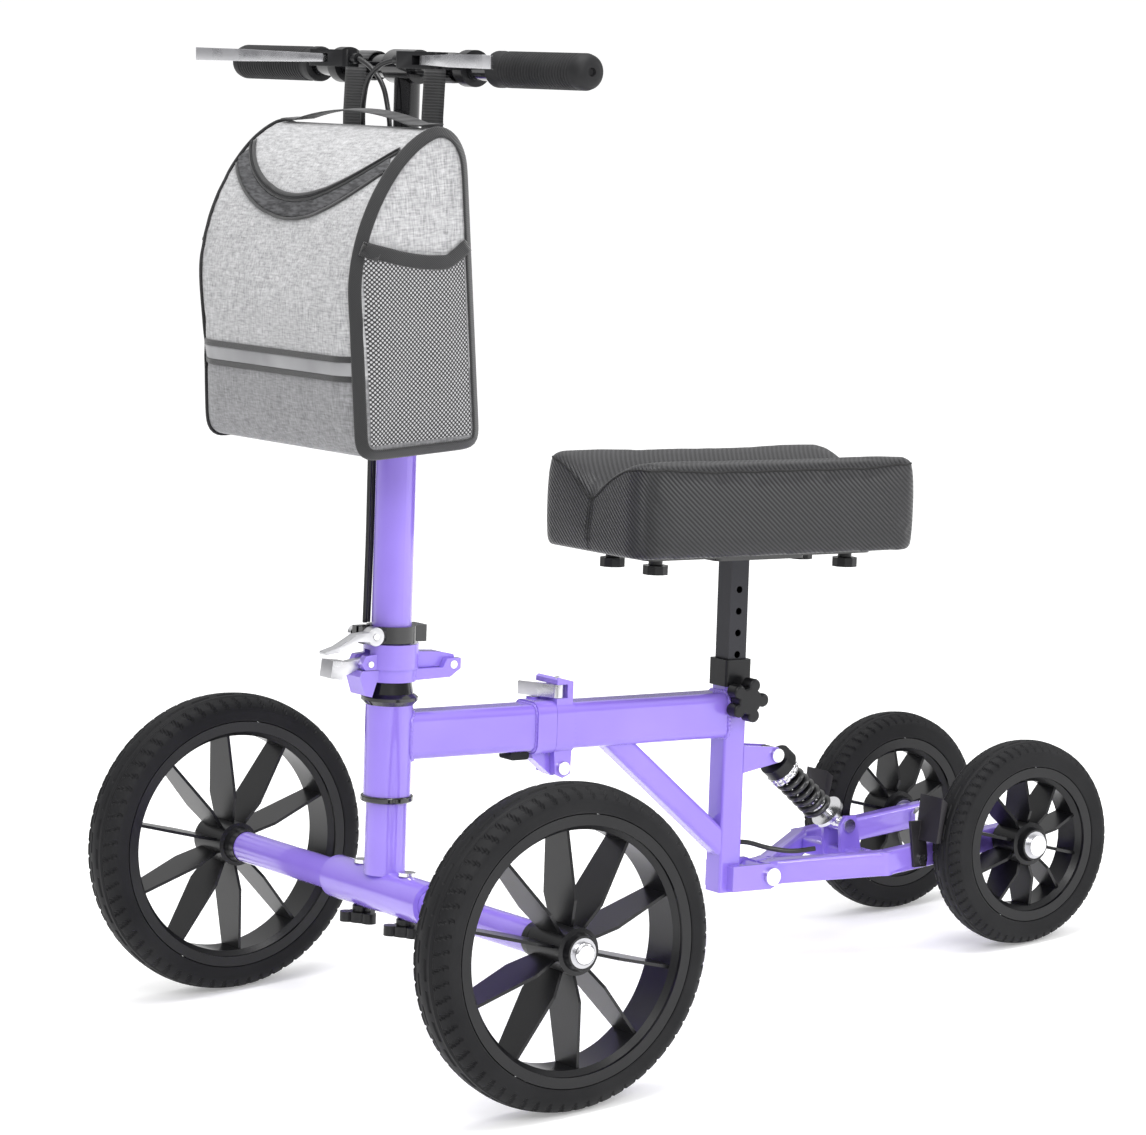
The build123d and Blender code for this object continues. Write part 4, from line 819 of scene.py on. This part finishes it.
# Woven polyester tape in charcoal, folded over each raw edge and stitched through, with the
# same tape across the front.
charcoal_tape, tree, shader = new_finish("charcoal_tape", (0.010, 0.010, 0.011), 0.80)
shader.inputs["Sheen Weight"].default_value = 0.3
ribs = tree.nodes.new("ShaderNodeTexWave")
ribs.bands_direction = "DIAGONAL"
ribs.inputs["Scale"].default_value = 300
ribs.inputs["Distortion"].default_value = 1.0
place = tree.nodes.new("ShaderNodeTexCoord")
tree.links.new(place.outputs["Object"], ribs.inputs["Vector"])
vary(tree, ribs, shader.inputs["Base Color"], (0.006, 0.006, 0.007), (0.018, 0.018, 0.019))
add_bump(tree, shader, ribs.outputs["Fac"], 0.4, 0.0005)


def lay_tape(bm, points, normals, width, thickness, closed=False):
    """A flat tape with soft edges along points, its face towards normals."""
    count = len(points)
    half_section = ((-1, 0), (-0.92, 0.75), (-0.6, 1), (0.6, 1), (0.92, 0.75), (1, 0), (0.9, -0.6),
                    (-0.9, -0.6))
    rings = []
    for i, here in enumerate(points):
        before = points[i - 1] if closed or i > 0 else here
        after = points[(i + 1) % count] if closed or i < count - 1 else here
        along = (after - before).normalized()
        face = (normals[i] - along * normals[i].dot(along)).normalized()
        side = along.cross(face)
        rings.append([bm.verts.new(here + side * (u * width / 2) + face * (v * thickness / 2))
                      for u, v in half_section])
    size = len(half_section)
    for i in range(count if closed else count - 1):
        one, two = rings[i], rings[(i + 1) % count]
        for k in range(size):
            bm.faces.new((one[k], one[(k + 1) % size], two[(k + 1) % size], two[k]))
    if not closed:
        bm.faces.new(rings[0][::-1])
        bm.faces.new(rings[-1])


def finish_tape(name, bm, finish):
    """Turn laid tapes into a piece on the bag."""
    bmesh.ops.recalc_face_normals(bm, faces=bm.faces)
    tape = add_mesh(name, bm, finish, "stem")
    return tape


def settle(points, directions, lift):
    """Bring points down onto the bag along directions, stopping lift short of the cloth."""
    out = []
    for point, direction in zip(points, directions):
        place, normal, face, reach = bag_surface.ray_cast(point - direction * 0.05, direction)
        if place is None:
            place, normal, face, reach = bag_surface.find_nearest(point)
        out.append(place - direction * lift)
    return out


bm = bmesh.new()
bag_ring = [Vector((0, y, z)) for y, z in bag_outline]
bag_ring = even_run(bag_ring, 170, True)
for side in (-1, 1):
    places, faces = [], []
    for i, p in enumerate(bag_ring):
        along = (bag_ring[(i + 1) % len(bag_ring)] - bag_ring[i - 1]).normalized()
        out = Vector((0, -along.z, along.y))
        if out.dot(p - Vector((0, *bag_middle))) < 0:
            out = -out
        corner = (out * 0.75 + Vector((side, 0, 0))).normalized()
        edge = Vector((bag_centre_x + side * (bag_half - 0.002), p.y, p.z)) - out * 0.003
        places.append(edge)
        faces.append(corner)
    laid = settle(places, [-face for face in faces], 0.0004)
    smooth = [(laid[i - 1] + laid[i] * 2 + laid[(i + 1) % len(laid)]) / 4 for i in range(len(laid))]
    lay_tape(bm, smooth, faces, 0.0125, 0.0026, closed=True)
finish_tape("bag_binding", bm, charcoal_tape)


def front_line(height, count=60, reach=1.0):
    """Points across the bag's front at a height given for each place across."""
    starts = []
    for k in range(count + 1):
        share = (2 * k / count - 1) * reach
        starts.append(Vector((bag_centre_x + share * (bag_half - 0.006), 0, height(share))))
    return starts


def across_front(bm, height, width, thickness, lift, reach=1.0):
    """A tape across the front, settled on the cloth."""
    points = []
    faces = []
    for p in front_line(height, 70, reach):
        start = Vector((p.x, bag_front - 0.1, p.z))
        place, normal, *_ = bag_surface.ray_cast(start, Vector((0, 1, 0)))
        if place is None:
            place, normal, *_ = bag_surface.find_nearest(p)
        points.append(place + normal * lift)
        faces.append(normal.copy())
    lay_tape(bm, points, faces, width, thickness)


bm = bmesh.new()
across_front(bm, lambda u: upper_seam, 0.0058, 0.0020, 0.0006)
across_front(bm, lambda u: lower_seam, 0.0058, 0.0020, 0.0006)
finish_tape("bag_front_tapes", bm, charcoal_tape)

# The grey band between them is glass-bead reflective tape.
reflective, tree, shader = new_finish("reflective_tape", (0.30, 0.30, 0.31), 0.38, 0.25)
vary(tree, object_noise(tree, 18), shader.inputs["Base Color"], (0.25, 0.25, 0.26), (0.36, 0.36, 0.37))
add_bump(tree, shader, object_noise(tree, 1600).outputs["Fac"], 0.2, 0.0003)
bm = bmesh.new()
across_front(bm, lambda u: (upper_seam + lower_seam) / 2, 0.0150, 0.0012, 0.0004)
finish_tape("bag_reflective_band", bm, reflective)

# The lid closes with a curved zip: a charcoal facing below, the zip tape, and its coil.
facing_cloth, tree, shader = new_finish("zip_facing", (0.060, 0.060, 0.063), 0.82)
vary(tree, object_noise(tree, 500, 2, (0.2, 0.2, 1)), shader.inputs["Base Color"], (0.035, 0.035, 0.037),
     (0.095, 0.095, 0.10))
add_bump(tree, shader, object_noise(tree, 800).outputs["Fac"], 0.3, 0.0005)


def zip_height(u):
    """The zip's line: lowest in the middle of the front, up to the lid's corners."""
    return bag_top - 0.064 + 0.048 * abs(u)**1.9


bm = bmesh.new()
across_front(bm, lambda u: zip_height(u) - 0.0105, 0.0150, 0.0022, 0.0006, 0.97)
finish_tape("bag_zip_facing", bm, facing_cloth)
bm = bmesh.new()
across_front(bm, lambda u: zip_height(u) + 0.0005, 0.0085, 0.0024, 0.0010, 0.97)
across_front(bm, lambda u: zip_height(u) - 0.0190, 0.0030, 0.0026, 0.0008, 0.97)
finish_tape("bag_zip_tape", bm, charcoal_tape)
zip_coil, tree, shader = new_finish("zip_coil", (0.010, 0.010, 0.011), 0.40)
add_bump(tree, shader, object_noise(tree, 900).outputs["Fac"], 0.1, 0.0003)
coil_points = []
for p in front_line(zip_height, 200, 0.97):
    place, normal, *_ = bag_surface.ray_cast(Vector((p.x, bag_front - 0.1, p.z)), Vector((0, 1, 0)))
    if place is not None:
        coil_points.append(place + normal * 0.0030)
coil_points = even_run(coil_points, 520)
bm = bmesh.new()
sweep_ring(bm, coil_points, lambda i: 0.0013 if i % 2 else 0.0009, 6, closed=False)
add_mesh("bag_zip_coil", bm, zip_coil, "stem")

# ---------------------------------------------------------------- bag end pockets
# Each gusset carries a knitted mesh pocket over the heather cloth, gathered along its top by a
# wide band of elastic binding.
pocket_mesh, tree, shader = new_finish("pocket_mesh", (0.012, 0.012, 0.012), 0.7)
place = tree.nodes.new("ShaderNodeTexCoord")
apart = tree.nodes.new("ShaderNodeSeparateXYZ")
flat = tree.nodes.new("ShaderNodeCombineXYZ")
turned = tree.nodes.new("ShaderNodeMapping")
turned.inputs["Rotation"].default_value = (0, 0, radians(45))
holes = tree.nodes.new("ShaderNodeTexVoronoi")
holes.voronoi_dimensions = "2D"
holes.inputs["Scale"].default_value = 330
holes.inputs["Randomness"].default_value = 0.0
tree.links.new(place.outputs["Object"], apart.inputs["Vector"])
tree.links.new(apart.outputs["Y"], flat.inputs["X"])
tree.links.new(apart.outputs["Z"], flat.inputs["Y"])
tree.links.new(flat.outputs["Vector"], turned.inputs["Vector"])
tree.links.new(turned.outputs["Vector"], holes.inputs["Vector"])
eye = tree.nodes.new("ShaderNodeValToRGB")
eye.color_ramp.elements[0].position = 0.30
eye.color_ramp.elements[0].color = (0.42, 0.42, 0.43, 1)
eye.color_ramp.elements[1].position = 0.38
eye.color_ramp.elements[1].color = (0.018, 0.018, 0.019, 1)
tree.links.new(holes.outputs["Distance"], eye.inputs["Fac"])
tree.links.new(eye.outputs["Color"], shader.inputs["Base Color"])
add_bump(tree, shader, holes.outputs["Distance"], 0.5, 0.0012)

pocket_foot, pocket_front, pocket_rear = bag_foot + 0.012, bag_front + 0.012, bag_back - 0.010


def pocket_rim(y):
    """The pocket's top edge, sagging to a low place towards the back."""
    share = (y - pocket_front) / (pocket_rear - pocket_front)
    return bag_top - 0.099 - 0.019 * sin(pi * min(1.0, share * 0.62)) + 0.010 * max(0.0, share - 0.8) / 0.2


for side, word in ((1, "left"), (-1, "right")):
    bm = bmesh.new()
    grid = []
    columns, rows = 26, 40
    for i in range(columns + 1):
        y = pocket_front + (pocket_rear - pocket_front) * i / columns
        line = []
        for j in range(rows + 1):
            z = pocket_foot + (pocket_rim(y) - pocket_foot) * j / rows
            edge_share = min(i, columns - i, j) / 5
            lift = 0.0008 + 0.0022 * min(1.0, edge_share)
            start = Vector((bag_centre_x + side * (bag_half + 0.1), y, z))
            line.append(bm.verts.new(onto(bag_surface, start, Vector((-side, 0, 0)), lift)))
        grid.append(line)
    for i in range(columns):
        for j in range(rows):
            bm.faces.new((grid[i][j], grid[i + 1][j], grid[i + 1][j + 1], grid[i][j + 1]))
    bmesh.ops.recalc_face_normals(bm, faces=bm.faces)
    add_mesh("bag_pocket_" + word, bm, pocket_mesh, "stem")
    bm = bmesh.new()
    rim, faces = [], []
    for k in range(31):
        y = pocket_front - 0.003 + (pocket_rear - pocket_front + 0.006) * k / 30
        start = Vector((bag_centre_x + side * (bag_half + 0.1), y, pocket_rim(y) - 0.004))
        rim.append(onto(bag_surface, start, Vector((-side, 0, 0)), 0.0030))
        faces.append(Vector((side, 0, 0)))
    lay_tape(bm, rim, faces, 0.0135, 0.0030)
    finish_tape("bag_pocket_rim_" + word, bm, charcoal_tape)

# ---------------------------------------------------------------- bag straps and carry handle
# Ribbed polypropylene webbing: two straps looped over the bar and sewn to the bag's back, and a
# carry handle bar-tacked across the top.
webbing, tree, shader = new_finish("ribbed_webbing", (0.02, 0.02, 0.02), 0.72)
shader.inputs["Sheen Weight"].default_value = 0.25
place = tree.nodes.new("ShaderNodeTexCoord")
picks = tree.nodes.new("ShaderNodeTexWave")
picks.bands_direction = "Z"
picks.inputs["Scale"].default_value = 115
picks.inputs["Distortion"].default_value = 0.4
tree.links.new(place.outputs["Object"], picks.inputs["Vector"])
vary(tree, picks, shader.inputs["Base Color"], (0.010, 0.010, 0.011), (0.034, 0.034, 0.036))
add_bump(tree, shader, picks.outputs["Fac"], 0.5, 0.0008)

bar_radius = 0.0111
strap_width, strap_thickness = 0.038, 0.0020
for side, word in ((1, "left"), (-1, "right")):
    x = side * 0.070
    points, faces = [], []
    for k in range(29):
        angle = radians(-150 + 300 * k / 28)
        out = Vector((0, cos(angle), sin(angle)))
        points.append(Vector((x, bar_centre.y, bar_centre.z)) + out * (bar_radius + 0.0022))
        faces.append(out)
    bm = bmesh.new()
    lay_tape(bm, points, faces, strap_width, strap_thickness)
    top = Vector((x, bar_centre.y - bar_radius - 0.0028, bar_centre.z + 0.002))
    foot = Vector((x, bag_back + 0.0030, bag_top - 0.044))
    end = Vector((x, bag_back + 0.0026, bag_top - 0.110))
    mid = top.lerp(foot, 0.5) + Vector((0, -0.0015, 0))
    run = even_run([top, mid, foot, end], 24)
    lay_tape(bm, run, [Vector((0, -1, -0.12))] * len(run), strap_width, strap_thickness)
    bmesh.ops.recalc_face_normals(bm, faces=bm.faces)
    strap = add_mesh("bag_strap_" + word, bm, webbing, "stem")
    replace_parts(strap, "bag_straps")

bm = bmesh.new()
handle = []
for k in range(41):
    share = 2 * k / 40 - 1
    rise = 0.011 * (1 - min(1.0, abs(share) / 0.80)**2)
    handle.append(Vector((bag_centre_x + share * 0.127, bag_front + 0.104, bag_top + 0.0022 + rise)))
lay_tape(bm, handle, [Vector((0, 0, 1))] * len(handle), 0.024, 0.0020)
bmesh.ops.recalc_face_normals(bm, faces=bm.faces)
carry = add_mesh("bag_carry_handle", bm, webbing, "stem")
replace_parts(carry, "bag_straps")
